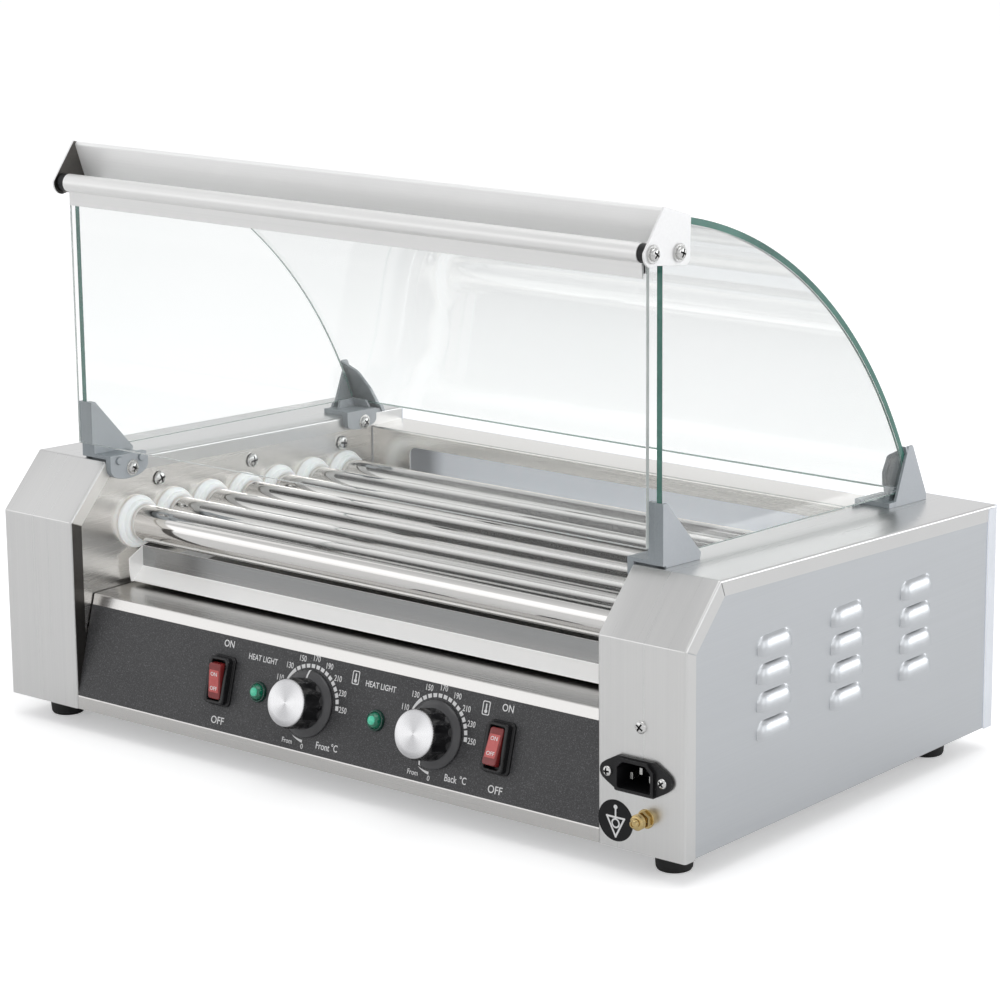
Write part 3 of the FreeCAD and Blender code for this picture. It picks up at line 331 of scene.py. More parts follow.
def strip_section(x0, x1, gauge):
    """The section of a plain strip from x0 to x1."""
    return [(x0, 0), (x1, 0), (x1, gauge), (x0, gauge)]


def bevelled(obj, width, segments=3, angle=35.0):
    """Rounds the object's edges, by a width in millimetres."""
    modifier = obj.modifiers.new("rounded_edges", "BEVEL")
    modifier.width = width * MM
    modifier.segments = segments
    modifier.limit_method = "ANGLE"
    modifier.angle_limit = math.radians(angle)
    modifier.use_clamp_overlap = True
    shading = obj.modifiers.new("face_shading", "WEIGHTED_NORMAL")
    shading.keep_sharp = False
    return obj


def baked(obj, angle=30.0):
    """Turns the object's modifiers into its mesh, then marks the sharp edges afresh."""
    graph = bpy.context.evaluated_depsgraph_get()
    mesh = bpy.data.meshes.new_from_object(obj.evaluated_get(graph))
    obj.modifiers.clear()
    old = obj.data
    obj.data = mesh
    bpy.data.meshes.remove(old)
    mesh.name = obj.name
    smoothed(mesh, angle)
    return obj


def combined(obj, other, operation):
    """Cuts or joins one object's mesh with another's and removes the other."""
    modifier = obj.modifiers.new("combine", "BOOLEAN")
    modifier.operation = operation
    modifier.solver = "EXACT"
    modifier.object = other
    baked(obj)
    bpy.data.objects.remove(other)
    return obj


def piece(obj, body, slot_name, materials, *nodes):
    """Files a finished piece: its body, materials and the CAD nodes it replaces. slot_name is not used.
    """
    for material in materials if isinstance(materials, (list, tuple)) else (materials,):
        obj.data.materials.append(material)
    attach(obj, body)
    if nodes:
        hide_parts(*nodes)
    return obj


# ---------------------------------------------------------------- materials

def feed(tree, target, **values):
    """Links or sets a node's inputs: a socket is linked, anything else becomes the input's value.

    An underscore in a name stands for a space.
    """
    for name, value in values.items():
        socket = target.inputs[name.replace("_", " ")]
        if isinstance(value, bpy.types.NodeSocket):
            tree.links.new(value, socket)
        else:
            socket.default_value = value


def node(tree, kind, **values):
    """A new shader node with its inputs fed."""
    made = tree.nodes.new("ShaderNode" + kind)
    feed(tree, made, **values)
    return made


def shader(name):
    """A new material with its node tree, Principled node and object coordinates."""
    material = bpy.data.materials.new(name)
    material.use_nodes = True
    tree = material.node_tree
    coordinates = node(tree, "TexCoord").outputs["Object"]
    return material, tree, tree.nodes["Principled BSDF"], coordinates


def triple(value):
    """A grey colour or an even scale may be given as one number."""
    return (value,) * 3 if isinstance(value, (int, float)) else value


def noise(tree, coordinates, scale, detail=3.0, roughness=0.55):
    """Noise over the object's coordinates; scale is in waves per metre, along each axis."""
    mapping = node(tree, "Mapping", Scale=triple(scale), Vector=coordinates)
    texture = node(tree, "TexNoise", Scale=1.0, Detail=detail, Roughness=roughness,
                   Vector=mapping.outputs["Vector"])
    return texture.outputs["Fac"]


def spread(tree, value, low, high, start=0.3, end=0.7):
    """Maps a value's stretch from start to end onto the range from low to high."""
    made = node(tree, "MapRange", Value=value, From_Min=start, From_Max=end, To_Min=low, To_Max=high)
    return made.outputs["Result"]


def mixed(tree, factor, dark, light):
    """A colour between two, each a colour, a grey or a socket, by a factor."""
    made = tree.nodes.new("ShaderNodeMix")
    made.data_type = "RGBA"
    tree.links.new(factor, made.inputs["Factor"])
    colours = [socket for socket in made.inputs if socket.type == "RGBA"]
    for socket, colour in zip(colours, (dark, light)):
        if isinstance(colour, (tuple, float)):
            socket.default_value = (*triple(colour), 1.0)
        else:
            tree.links.new(colour, socket)
    return next(socket for socket in made.outputs if socket.type == "RGBA")


def maths(tree, operation, first, second=0.0):
    """The result of an operation on two values, each a number or a socket."""
    made = tree.nodes.new("ShaderNodeMath")
    made.operation = operation
    for socket, value in zip(made.inputs, (first, second)):
        if isinstance(value, (int, float)):
            socket.default_value = value
        else:
            tree.links.new(value, socket)
    return made.outputs["Value"]


def axes(tree, vector):
    """The X, Y and Z of a vector socket."""
    return node(tree, "SeparateXYZ", Vector=vector).outputs


def blended(tree, share, first, second, output):
    """Sends a blend of two shader nodes to the output node, by share."""
    blend = tree.nodes.new("ShaderNodeMixShader")
    for socket, source in zip(blend.inputs, (share, first.outputs[0], second.outputs[0])):
        tree.links.new(source, socket)
    tree.links.new(blend.outputs[0], output.inputs["Surface"])


def relief(tree, principled, height, strength, distance):
    """A bump from a height value, distance in millimetres."""
    bump = node(tree, "Bump", Height=height, Strength=strength, Distance=distance * MM)
    feed(tree, principled, Normal=bump.outputs["Normal"])


def surface(dark, light, grain, roughness, bump=0.0, metallic=0.0, glow=0.0, glow_colour=1.0,
            bump_height=0.05, cloud=14.0, detail=3.0, **values):
    """A finish whose colour drifts slowly and whose roughness and relief follow a grain."""
    material, tree, principled, coordinates = shader("finish")
    drift = noise(tree, coordinates, cloud, 2.0)
    fine = noise(tree, coordinates, grain, detail)
    blend = maths(tree, "ADD", spread(tree, drift, 0.0, 0.5), spread(tree, fine, 0.0, 0.5))
    feed(tree, principled, Base_Color=mixed(tree, blend, dark, light),
         Roughness=spread(tree, fine, *roughness), Metallic=metallic, Emission_Strength=glow,
         Emission_Color=(*triple(glow_colour), 1.0), **values)
    if bump:
        relief(tree, principled, fine, bump, bump_height)
    return material


def brushed(dark, light, grain, roughness, bump=0.0):
    """Bare metal with a brushed or blasted grain."""
    return surface(dark, light, grain, roughness, bump, 1.0, bump_height=0.04, cloud=5.0, detail=4.0)


# Brushing, in waves per metre along and across the grain.
LONG, FINE = 3.0, 1300.0
ALONG_X = (LONG, FINE, FINE)
LEVEL = (LONG, LONG, FINE)
UPRIGHT = (FINE, LONG, LONG)

M = {
    # Sheet steel.
    "housing": brushed((0.70, 0.70, 0.695), (0.76, 0.76, 0.75), UPRIGHT, (0.27, 0.33), 0.01),
    "side": brushed((0.58, 0.60, 0.62), (0.63, 0.65, 0.67), LEVEL, (0.32, 0.38), 0.008),
    "inner": brushed((0.86, 0.84, 0.81), (0.91, 0.89, 0.86), LEVEL, (0.24, 0.28)),
    "cover": surface((0.78, 0.81, 0.86), (0.84, 0.87, 0.92), 60.0, (0.34, 0.44), 0.01, metallic=0.30),
    # Painted light: the inside of the rear cover glows bluish; its glow is set further down.
    "cover_inside": surface((0.70, 0.73, 0.78), (0.80, 0.83, 0.88), 60.0, (0.34, 0.44), metallic=0.30,
                            glow_colour=(0.91, 0.95, 1.0)),
    # Painted shade: darker copies of the tray steel for its floor and inner faces, and for its upper
    # front wall.
    "tray_inside_painted_shade": brushed((0.16, 0.155, 0.15), (0.26, 0.25, 0.24), ALONG_X, (0.35, 0.50), 0.02),
    "tray_wall_painted_shade": brushed((0.34, 0.345, 0.345), (0.40, 0.405, 0.405), ALONG_X, (0.22, 0.28)),
    "panel": brushed((0.64, 0.63, 0.615), (0.69, 0.68, 0.665), ALONG_X, (0.22, 0.28), 0.01),
    # Painted light: the tray's steel glows a little, brightening its lip and cheeks.
    "tray": surface((0.88, 0.88, 0.87), (0.91, 0.91, 0.90), ALONG_X, (0.28, 0.29), metallic=0.28,
                    glow=0.17, glow_colour=(1.0, 1.0, 0.99)),
    # Painted light and shade: a lit copy of the steel for a lip, and a dark copy for lips and faces in
    # shade.
    "lit_lip": surface((0.88, 0.86, 0.82), (0.94, 0.92, 0.88), UPRIGHT, (0.30, 0.36), 0.005, 0.40),
    "shade": brushed((0.10, 0.095, 0.09), (0.18, 0.17, 0.16), ALONG_X, (0.30, 0.45), 0.01),
    "base": brushed((0.50, 0.51, 0.52), (0.60, 0.61, 0.62), ALONG_X, (0.34, 0.48), 0.05),
    # The hood's metal, and the rollers.
    # Painted light: the rail's steel glows a little.
    "rail": surface((0.88, 0.88, 0.875), (0.93, 0.93, 0.925), ALONG_X, (0.30, 0.36), 0.01, 0.28,
                    glow=0.05),
    "plate": surface(0.86, 0.93, 400.0, (0.38, 0.48), 0.02, 0.35),
    "hinge": surface((0.84, 0.84, 0.83), (0.90, 0.90, 0.89), (LONG, 700.0, 700.0), (0.30, 0.40), 0.01,
                     0.45),
    "roller": brushed((0.74, 0.73, 0.71), (0.81, 0.80, 0.785), (LONG, 500.0, 500.0), (0.055, 0.085)),
    # Small metal parts.
    "screw": brushed((0.62, 0.62, 0.61), (0.76, 0.76, 0.75), 500.0, (0.18, 0.30), 0.03),
    # Painted shade: near black for the screws' cross recesses and for the rings under the wall screws.
    "slot": surface(0.02, 0.05, 500.0, (0.50, 0.70), metallic=0.6),
    "drive": brushed((0.36, 0.36, 0.37), (0.46, 0.46, 0.47), 400.0, (0.30, 0.45), 0.05),
    "brass": brushed((0.46, 0.33, 0.14), (0.66, 0.51, 0.25), 500.0, (0.12, 0.20), 0.02),
    "pins": brushed((0.46, 0.46, 0.45), (0.58, 0.58, 0.56), (LONG, 500.0, 500.0), (0.20, 0.30), 0.02),
    "sheath": brushed((0.38, 0.35, 0.31), (0.50, 0.46, 0.41), (LONG, 300.0, 300.0), (0.35, 0.50), 0.03),
    "thermostat": brushed(0.60, 0.70, 300.0, (0.30, 0.42), 0.03),
    # Rubber, plastic, paint and print.
    "rubber": surface(0.012, 0.030, 900.0, (0.70, 0.90), 0.2, bump_height=0.1),
    # Painted light: the white bushings glow a little.
    "ptfe_painted_glow": surface((0.93, 0.93, 0.92), (0.98, 0.98, 0.97), 300.0, (0.30, 0.42), 0.02, glow=0.14,
                    glow_colour=(1.0, 0.99, 0.97), Subsurface_Weight=0.15),
    "paint": surface((0.20, 0.21, 0.23), (0.28, 0.29, 0.31), 800.0, (0.40, 0.55), 0.08),
    "gloss": surface((0.005, 0.005, 0.006), (0.012, 0.012, 0.013), 500.0, (0.14, 0.22), 0.02,
                     Specular_IOR_Level=0.32, Coat_Weight=0.12),
    "skirt": surface((0.060, 0.060, 0.062), (0.078, 0.078, 0.082), 90.0, (0.18, 0.24),
                     Specular_IOR_Level=0.40, Coat_Weight=0.15),
    "plastic": surface((0.006, 0.006, 0.007), (0.013, 0.013, 0.014), 900.0, (0.34, 0.46), 0.10,
                       Specular_IOR_Level=0.35),
    "red": surface((0.16, 0.016, 0.016), (0.26, 0.030, 0.030), 300.0, (0.16, 0.26), 0.02,
                   Coat_Weight=0.3),
    "red_window": surface((0.48, 0.070, 0.068), (0.60, 0.120, 0.112), 300.0, (0.14, 0.24), 0.02,
                          Coat_Weight=0.4),
    "green": surface((0.002, 0.13, 0.070), (0.006, 0.20, 0.11), 300.0, (0.08, 0.16), Coat_Weight=0.6),
    "green_rim": surface((0.001, 0.030, 0.020), (0.003, 0.060, 0.040), 300.0, (0.08, 0.16),
                         Coat_Weight=0.6),
    "green_crown": surface((0.03, 0.50, 0.28), (0.10, 0.75, 0.50), 300.0, (0.06, 0.12),
                           Coat_Weight=0.8),
    "nylon": surface((0.72, 0.72, 0.70), (0.82, 0.82, 0.80), 300.0, (0.40, 0.55), 0.04),
    "bracket": surface((0.24, 0.27, 0.29), (0.32, 0.35, 0.37), 1200.0, (0.38, 0.50), 0.06),
    # Painted light: a lighter copy of the bracket plastic for faces towards +X.
    "bracket_lit": surface((0.45, 0.48, 0.51), (0.53, 0.56, 0.59), 1200.0, (0.34, 0.46), 0.04),
    "print": surface(0.70, 0.82, 900.0, (0.45, 0.60)),
    "sticker": surface((0.006, 0.006, 0.007), (0.014, 0.014, 0.015), 700.0, (0.45, 0.60), 0.02,
                       Specular_IOR_Level=0.22),
    # The cut edges of glass.
    "pale_edge": surface((0.55, 0.62, 0.60), (0.75, 0.80, 0.78), 60.0, (0.10, 0.20),
                         Transmission_Weight=0.4),
    "glass_edge": surface((0.030, 0.17, 0.13), (0.10, 0.33, 0.26), 60.0, (0.10, 0.20),
                          Coat_Weight=0.6, Transmission_Weight=0.35),
}
for name, material in M.items():
    material.name = name


def speckled_film():
    """Dark film with a fine scatter of paler flecks."""
    material, tree, principled, coordinates = shader("black_film")
    flecks = noise(tree, coordinates, 1500.0, 2.0, 0.7)
    drift = noise(tree, coordinates, 30.0, 2.0)
    ground = mixed(tree, spread(tree, drift, 0.0, 1.0), (0.028, 0.028, 0.030), (0.038, 0.038, 0.040))
    colour = mixed(tree, spread(tree, flecks, 0.0, 1.0, 0.52, 0.74), ground, (0.16, 0.16, 0.165))
    feed(tree, principled, Base_Color=colour, Roughness=spread(tree, flecks, 0.42, 0.56))
    relief(tree, principled, flecks, 0.15, 0.05)
    return material


def spun_aluminium():
    """Aluminium turned on a lathe: fine rings about the local Z axis."""
    material, tree, principled, coordinates = shader("spun_aluminium")
    place = axes(tree, coordinates)
    squares = [maths(tree, "POWER", place[axis], 2.0) for axis in "XY"]
    radius = maths(tree, "SQRT", maths(tree, "ADD", *squares))
    rings = tree.nodes.new("ShaderNodeTexNoise")
    rings.noise_dimensions = "1D"
    feed(tree, rings, Scale=2600.0, Detail=3.0, W=radius)
    value = rings.outputs["Fac"]
    ringed = mixed(tree, spread(tree, value, 0.0, 1.0), (0.74, 0.74, 0.75), (0.90, 0.90, 0.91))
    # Painted highlight: two opposite wedges lighter than the rest, standing in for the sheen of turned
    # metal.
    bearing = maths(tree, "ARCTAN2", place["Y"], place["X"])
    doubled = maths(tree, "MULTIPLY", bearing, 2.0)
    painted_highlight = spread(tree, maths(tree, "COSINE", doubled), 0.0, 1.0, -0.9, 0.9)
    tangent = tree.nodes.new("ShaderNodeTangent")
    tangent.direction_type = "RADIAL"
    tangent.axis = "Z"
    feed(tree, principled, Base_Color=mixed(tree, painted_highlight, (0.52, 0.52, 0.53), ringed),
         Roughness=spread(tree, value, 0.22, 0.34), Metallic=1.0, Anisotropic=0.85,
         Tangent=tangent.outputs["Tangent"])
    relief(tree, principled, value, 0.10, 0.03)
    return material


def clear_glass(name, tint_low, tint_high):
    """Thin clear glass that lets lamps through, with a faint drift in its tint."""
    material, tree, principled, coordinates = shader(name)
    drift = noise(tree, coordinates, 6.0, 1.0)
    tint = mixed(tree, spread(tree, drift, 0.0, 1.0), tint_low, tint_high)
    feed(tree, principled, Base_Color=tint, Roughness=spread(tree, drift, 0.0, 0.01),
         Transmission_Weight=1.0, IOR=1.5)
    path = node(tree, "LightPath")
    through = node(tree, "BsdfTransparent", Color=(0.96, 0.975, 0.97, 1.0))
    blended(tree, path.outputs["Is Shadow Ray"], principled, through, tree.nodes["Material Output"])
    return material


# Painted light: the glow on the inside of the rear cover, and the stretch at its left end that stays
# dark as painted shade.
PAINTED_COVER_GLOW = (0.02, 0.32)
PAINTED_SHADE_END = (-0.196, -0.180)       # metres along X over which the glow comes up


def light_cover_inside():
    """Paints a bluish glow on the inside of the rear cover as painted light, with painted shade at its
    left end.
    """
    tree = M["cover_inside"].node_tree
    place = axes(tree, node(tree, "TexCoord").outputs["Object"])
    lit = spread(tree, place["X"], *PAINTED_COVER_GLOW, *PAINTED_SHADE_END)
    feed(tree, tree.nodes["Principled BSDF"], Emission_Strength=lit)


light_cover_inside()
M["film"] = speckled_film()
M["cap"] = spun_aluminium()
M["glass"] = clear_glass("clear_glass", (0.972, 0.984, 0.980), (0.984, 0.990, 0.988))


# ---------------------------------------------------------------- housings

GAUGE = 1.0
BEND = 1.7
EDGE_ROUND = 1.5
LIP = 10.0
MITRE_GAP = 0.28
REAR_LIP_GAP = 9.0
INLET_HALF_WIDE, INLET_HALF_TALL = 14.0, 10.3


def mitre_direction(before, here, after):
    """The direction that halves the corner, pointing inwards."""
    return ((before - here).normalized() + (after - here).normalized()).normalized()


def housing_cover(name, node_name, mirrored):
    """Front, chamfer and top folded from one sheet, with mitred lips down both sides."""
    corners = [Vector((0, 0)), Vector((0, FRONT_HEIGHT)), Vector((CHAMFER_DEPTH, CHAMFER_TOP)),
               Vector((DEPTH - 1, top_z(DEPTH - 1)))]
    stations = folded_path(corners, BEND, 8)
    outer = [(0.0, EDGE_ROUND)] + arc((EDGE_ROUND, EDGE_ROUND), EDGE_ROUND, 180, 270, 5)[1:]
    inlet_x = WIDTH - INLET_X
    window_x = (inlet_x - INLET_HALF_WIDE, inlet_x + INLET_HALF_WIDE)
    outer += [(x, 0.0) for x in window_x]
    far = HOUSING
    outer += arc((far - EDGE_ROUND, EDGE_ROUND), EDGE_ROUND, 270, 360, 5)
    inner = [(far - GAUGE, EDGE_ROUND), (far - EDGE_ROUND, GAUGE)]
    inner += [(x, GAUGE) for x in reversed(window_x)]
    inner += [(EDGE_ROUND, GAUGE), (GAUGE, EDGE_ROUND)]
    windows = []
    if mirrored:
        stations = with_breaks(stations, (INLET_Z - INLET_HALF_TALL, INLET_Z + INLET_HALF_TALL))
        windows = [(1, *window_x)]
    bm = folded_sheet(stations, outer + inner, windows)
    # The lips: one mitred strip for each straight run, on both open sides.
    # Painted light and shade: the inner lip along the chamfer takes the lit lip steel, and on the left
    # cover the inner lip of the front run takes the dark shade steel.
    lip_painted_light_and_shade = {(1, 1): 1} if mirrored else {(1, 1): 1, (0, 1): 2}
    ends = []
    for i, corner in enumerate(corners):
        if i == 0:
            ends.append(Vector((1, 0)))
        elif i == len(corners) - 1:
            ends.append((corner - corners[i - 1]).normalized())
            ends[-1] = Vector((ends[-1].y, -ends[-1].x))
        else:
            ends.append(mitre_direction(corners[i - 1], corner, corners[i + 1]))
    for i, (a, b) in enumerate(zip(corners, corners[1:])):
        way = (b - a).normalized()
        aim = Vector((way.y, -way.x))

        def on_lip(corner, end, inset, shift):
            """A point on the mitre at a corner, an inset from the fold, shifted along the run."""
            return corner + end * (inset / end.dot(aim)) + way * shift

        for side, x in enumerate((0.0, far - GAUGE)):
            rear_stop = -(REAR_LIP_GAP if side == 0 else 0.0) if i == 2 else -MITRE_GAP
            start = 0.0 if i == 0 else MITRE_GAP
            edge = EDGE_ROUND - 0.2
            outline = [on_lip(a, ends[i], edge, start), on_lip(b, ends[i + 1], edge, rear_stop),
                       on_lip(b, ends[i + 1], LIP, rear_stop), on_lip(a, ends[i], LIP, start)]
            lip = prism([tuple(p) for p in outline], x, x + GAUGE)
            for face in lip.faces:
                face.material_index = lip_painted_light_and_shade.get((i, side), 0)
            join(bm, lip)
    if mirrored:
        to_other_side(bm)
    steel_and_painted_lips = (M["housing"], M["lit_lip"], M["shade"])
    return piece(new_object(name, bm), "chassis", "stainless_steel", steel_and_painted_lips, node_name)


housing_cover("left_cover", "left_housing_cover", False)
housing_cover("right_cover", "right_housing_cover", True)


LOUVRE_HALF, LOUVRE_HEIGHT, LOUVRE_REACH = 17.0, 11.5, 4.0
# The middle of each louvre's foot, in Y and Z: three columns of four rows.
LOUVRE_FEET = [(90.0 + 77.9 * column, 109.5 - 17.5 * row) for column in range(3) for row in range(4)]


def louvre_patch(bm, y0, z0, x_face, outward):
    """A pressed hood that swells out of the wall, open along its foot."""
    across, up = 28, 12
    grid = []
    for j in range(up + 1):
        row = []
        v = j / up
        for i in range(across + 1):
            u = -1 + 2 * i / across
            inside = max(0.0, 1 - abs(u) ** 5 - v ** 2.4)
            swell = LOUVRE_REACH * inside ** 0.62
            row.append(bm.verts.new((x_face + outward * swell, y0 + u * LOUVRE_HALF,
                                     z0 + v * LOUVRE_HEIGHT)))
        grid.append(row)
    for j in range(up):
        for i in range(across):
            bm.faces.new((grid[j][i], grid[j][i + 1], grid[j + 1][i + 1], grid[j + 1][i]))


def side_panel(name, node_name, x_face, outward):
    """An outer wall with three columns and four rows of louvres, one millimetre thick."""
    bm = bmesh.new()
    inset = 1.0
    rear = DEPTH - 1.1
    outline = [(inset, inset), (inset, FRONT_HEIGHT - 0.5),
               (CHAMFER_DEPTH + 0.4, CHAMFER_TOP - inset - 0.1),
               (rear, top_z(rear) - inset - 0.1), (rear, inset)]
    loops = [outline]
    for y, z in LOUVRE_FEET:
        loops.append(rectangle(y - LOUVRE_HALF, z, y + LOUVRE_HALF, z + LOUVRE_HEIGHT))
    edges = []
    for loop in loops:
        verts = [bm.verts.new((x_face, u, v)) for u, v in loop]
        edges += [bm.edges.new((verts[i], verts[(i + 1) % len(verts)])) for i in range(len(verts))]
    bmesh.ops.triangle_fill(bm, use_beauty=True, use_dissolve=True, edges=edges)
    for y, z in LOUVRE_FEET:
        louvre_patch(bm, y, z, x_face, outward)
    for face in bm.faces:
        face.normal_update()
        if face.normal.x * outward < 0:
            face.normal_flip()
    obj = new_object(name, bm, 50.0)
    gauge = obj.modifiers.new("sheet_gauge", "SOLIDIFY")
    gauge.thickness = 0.9 * MM
    gauge.offset = -1.0
    baked(obj, 40.0)
    return piece(obj, "chassis", "stainless_steel", M["side"], node_name)


side_panel("left_outer_wall", "left_side_panel", 1.0, -1)
side_panel("right_outer_wall", "right_side_panel", WIDTH - 1.0, 1)


# ---------------------------------------------------------------- front panel, rear wall, tray

LEDGE_REAR, LEDGE_FOOT = 67.6, 68.4
REAR_WALL_Y, REAR_LEDGE_Z = 306.5, 141.0
WINDOW_LEFT, WINDOW_LOW, WINDOW_RIGHT, WINDOW_HIGH, WINDOW_ROUND = 99.0, 96.0, 471.0, 130.0, 6.0


def between_housings():
    """The section of a sheet that spans from one housing to the other."""
    return strip_section(HOUSING, WIDTH - HOUSING, GAUGE)


def build_panel():
    """The leaning panel with its ledge, folded with round bends."""
    line = [(PANEL_FOOT_Y, 0), (PANEL_FOOT_Y, PANEL_LIP), (PANEL_TOP_Y, LEDGE_HEIGHT),
            (LEDGE_REAR, LEDGE_HEIGHT), (LEDGE_REAR, LEDGE_FOOT)]
    bm = folded_sheet(folded_path(line, 1.1), between_housings())
    piece(new_object("front_panel", bm), "chassis", "stainless_steel", M["panel"], "control_panel")


def build_rear_wall():
    """The wall behind the rollers with its ledge and the long window under it."""
    line = [(REAR_WALL_Y, GAUGE), (REAR_WALL_Y, REAR_LEDGE_Z), (DEPTH - GAUGE, REAR_LEDGE_Z)]
    wall = new_object("rear_wall", folded_sheet(folded_path(line, 1.4), between_housings()))
    outline = rectangle(WINDOW_LEFT, WINDOW_LOW, WINDOW_RIGHT, WINDOW_HIGH, WINDOW_ROUND)
    window = prism(outline, -312.0, -300.0, front_on)
    combined(wall, new_object("cutter", window), "DIFFERENCE")
    piece(wall, "chassis", "stainless_steel", M["inner"], "rear_inner_wall")


TRAY_LEFT, TRAY_RIGHT = 68.0, 502.0
TRAY_FLOOR, TRAY_FRONT, TRAY_REAR, TRAY_RIM = 78.7, 61.2, 300.0, 89.0


def build_tray():
    """The drip tray, folded from one sheet, its end walls standing proud as cheeks."""
    line = [(TRAY_REAR, TRAY_FLOOR), (50.3, TRAY_FLOOR), (TRAY_FRONT, 87.6), (TRAY_FRONT, 102.0)]
    bm = folded_sheet(folded_path(line, 0.7), strip_section(TRAY_LEFT + 1, TRAY_RIGHT - 1, 1.0))
    cheek = filleted([(50.0, TRAY_FLOOR), (TRAY_REAR, TRAY_FLOOR), (TRAY_REAR, TRAY_RIM),
                      (75.2, TRAY_RIM), (62.2, 101.5), (48.6, 95.2), (48.6, 86.2)], 0.8, 3)
    for x in (TRAY_LEFT, TRAY_RIGHT - 1.0):
        join(bm, prism(cheek, x, x + 1.0))
    join(bm, prism(rectangle(TRAY_REAR - 1.0, TRAY_FLOOR, TRAY_REAR, TRAY_RIM), TRAY_LEFT, TRAY_RIGHT))
    # Painted shade: the faces behind the front wall take the dark inside steel, and the upper front wall
    # takes the darker wall steel.
    for face in bm.faces:
        face.normal_update()
        centre = face.calc_center_median()
        between_cheeks = TRAY_LEFT + 0.5 < centre.x < TRAY_RIGHT - 0.5
        if centre.y > 61.8 and between_cheeks and abs(face.normal.x) < 0.5:
            face.material_index = 1
        elif centre.z > 88.0 and abs(centre.y - TRAY_FRONT) < 0.1:
            face.material_index = 2
    tray = new_object("folded_tray", bm)
    bevelled(tray, 0.3, 2)
    piece(tray, "tray", "tray_steel", (M["tray"], M["tray_inside_painted_shade"], M["tray_wall_painted_shade"]), "drip_tray")


build_panel()
build_rear_wall()
build_tray()


# ---------------------------------------------------------------- rollers and bushings

ROLLERS, ROLLER_END = 7, 38.0


def build_rollers():
    """The roller tubes, with a fine bevel on their ends."""
    for i in range(ROLLERS):
        outer, inner = ROLLER_RADIUS, ROLLER_RADIUS - ROLLER_WALL
        low, high = ROLLER_END, WIDTH - ROLLER_END
        edge = 0.3
        profile = [(inner, low), (outer - edge, low), (outer, low + edge), (outer, high - edge),
                   (outer - edge, high), (inner, high)]
        bm = lathe(profile, roller_axis(i), side_on, 96)
        piece(new_object(f"roller_{i + 1}_tube", bm), f"roller_{i + 1}", "polished_roller",
              M["roller"], f"roller_tube_{i + 1}")


def build_bushings():
    """Stepped white rings: a rounded flange, a groove, and a rounded hub."""
    bore = ROLLER_RADIUS + 0.05
    profile = [(bore, -6), (14.9, -6), (14.9, 0), (17.2, 0), (18.0, 0.8), (18.0, 2.2), (17.2, 3.0),
               (15.9, 3.2), (14.9, 3.5), (14.9, 4.1), (15.5, 4.5), (15.5, 6.9), (15.2, 7.6), (14.5, 8.0),
               (13.4, 8.0), (12.9, 7.6), (bore, 7.4)]
    for side, node_name in (("left", "left_roller_bushings"), ("right", "right_roller_bushings")):
        bm = bmesh.new()
        for i in range(ROLLERS):
            join(bm, lathe(profile, roller_axis(i), side_on, 72))
        bmesh.ops.translate(bm, vec=(HOUSING - 1.0, 0, 0), verts=bm.verts)
        if side == "right":
            to_other_side(bm)
        piece(new_object(f"{side}_bushings", bm, 40.0), "chassis", "white_ptfe", M["ptfe_painted_glow"], node_name)


build_rollers()
build_bushings()


# ---------------------------------------------------------------- controls

KNOB_SKIRT, KNOB_GRIP, KNOB_HEIGHT = 21.5, 16.5, 20.0
FLUTES = 12
FRONT_POINTER, BACK_POINTER = 0.0, -162.0       # bearings at rest, from straight up
ROCKER_TILT, ROCKER_PIVOT = 10.0, 4.0


def knob_wave(angle, radius, height):
    """Scallops the grip: round hollows between narrow ridges."""
    if height < 4.6 or radius < KNOB_GRIP - 2.0:
        return radius
    depth = 1.7 * min(1.0, (height - 4.6) / 1.5)
    return radius - depth * abs(math.sin(FLUTES * angle / 2)) ** 1.1


def build_knobs():
    """Each dial: a fluted grip, a skirt, a spun cap and a white pointer."""
    base = OVERLAY + 0.5
    for body, name, x, bearing in (("front_dial", "front", KNOB_X[0], FRONT_POINTER),
                                   ("back_dial", "back", KNOB_X[1], BACK_POINTER)):
        profile = [(0, -14), (3, -14), (3, base), (16.0, base), (16.0, 4.3), (KNOB_GRIP, 4.6)]
        profile += [(KNOB_GRIP, 5.5), (KNOB_GRIP, 6.5), (KNOB_GRIP, KNOB_HEIGHT - 1.6)]
        profile += [(KNOB_GRIP - 0.35, KNOB_HEIGHT - 0.8), (KNOB_GRIP - 1.0, KNOB_HEIGHT - 0.25),
                    (KNOB_GRIP - 1.8, KNOB_HEIGHT), (14.6, KNOB_HEIGHT - 0.1), (0, KNOB_HEIGHT - 0.1)]
        grip = lathe(profile, (x, CONTROL_DROP), panel_on, 192, knob_wave)
        piece(new_object(f"{name}_dial_grip", grip, 40.0), body, "black_gloss", M["gloss"],
              f"{name}_knob")
        skirt_profile = [(15.5, base), (KNOB_SKIRT - 0.4, base), (KNOB_SKIRT, base + 0.3),
                         (KNOB_SKIRT, base + 0.9), (KNOB_SKIRT - 0.5, base + 1.5), (18.2, 4.0),
                         (17.0, 4.4), (15.5, 4.4)]
        skirt = lathe(skirt_profile, (x, CONTROL_DROP), panel_on, 96)
        piece(new_object(f"{name}_dial_skirt", skirt, 40.0), body, "black_gloss", M["skirt"])
        piece(dial_cap(name, x), body, "spun_aluminium", M["cap"], f"{name}_knob_cap")
        piece(new_object(f"{name}_dial_pointer", dial_pointer(x, bearing)), body, "black_gloss",
              M["print"])


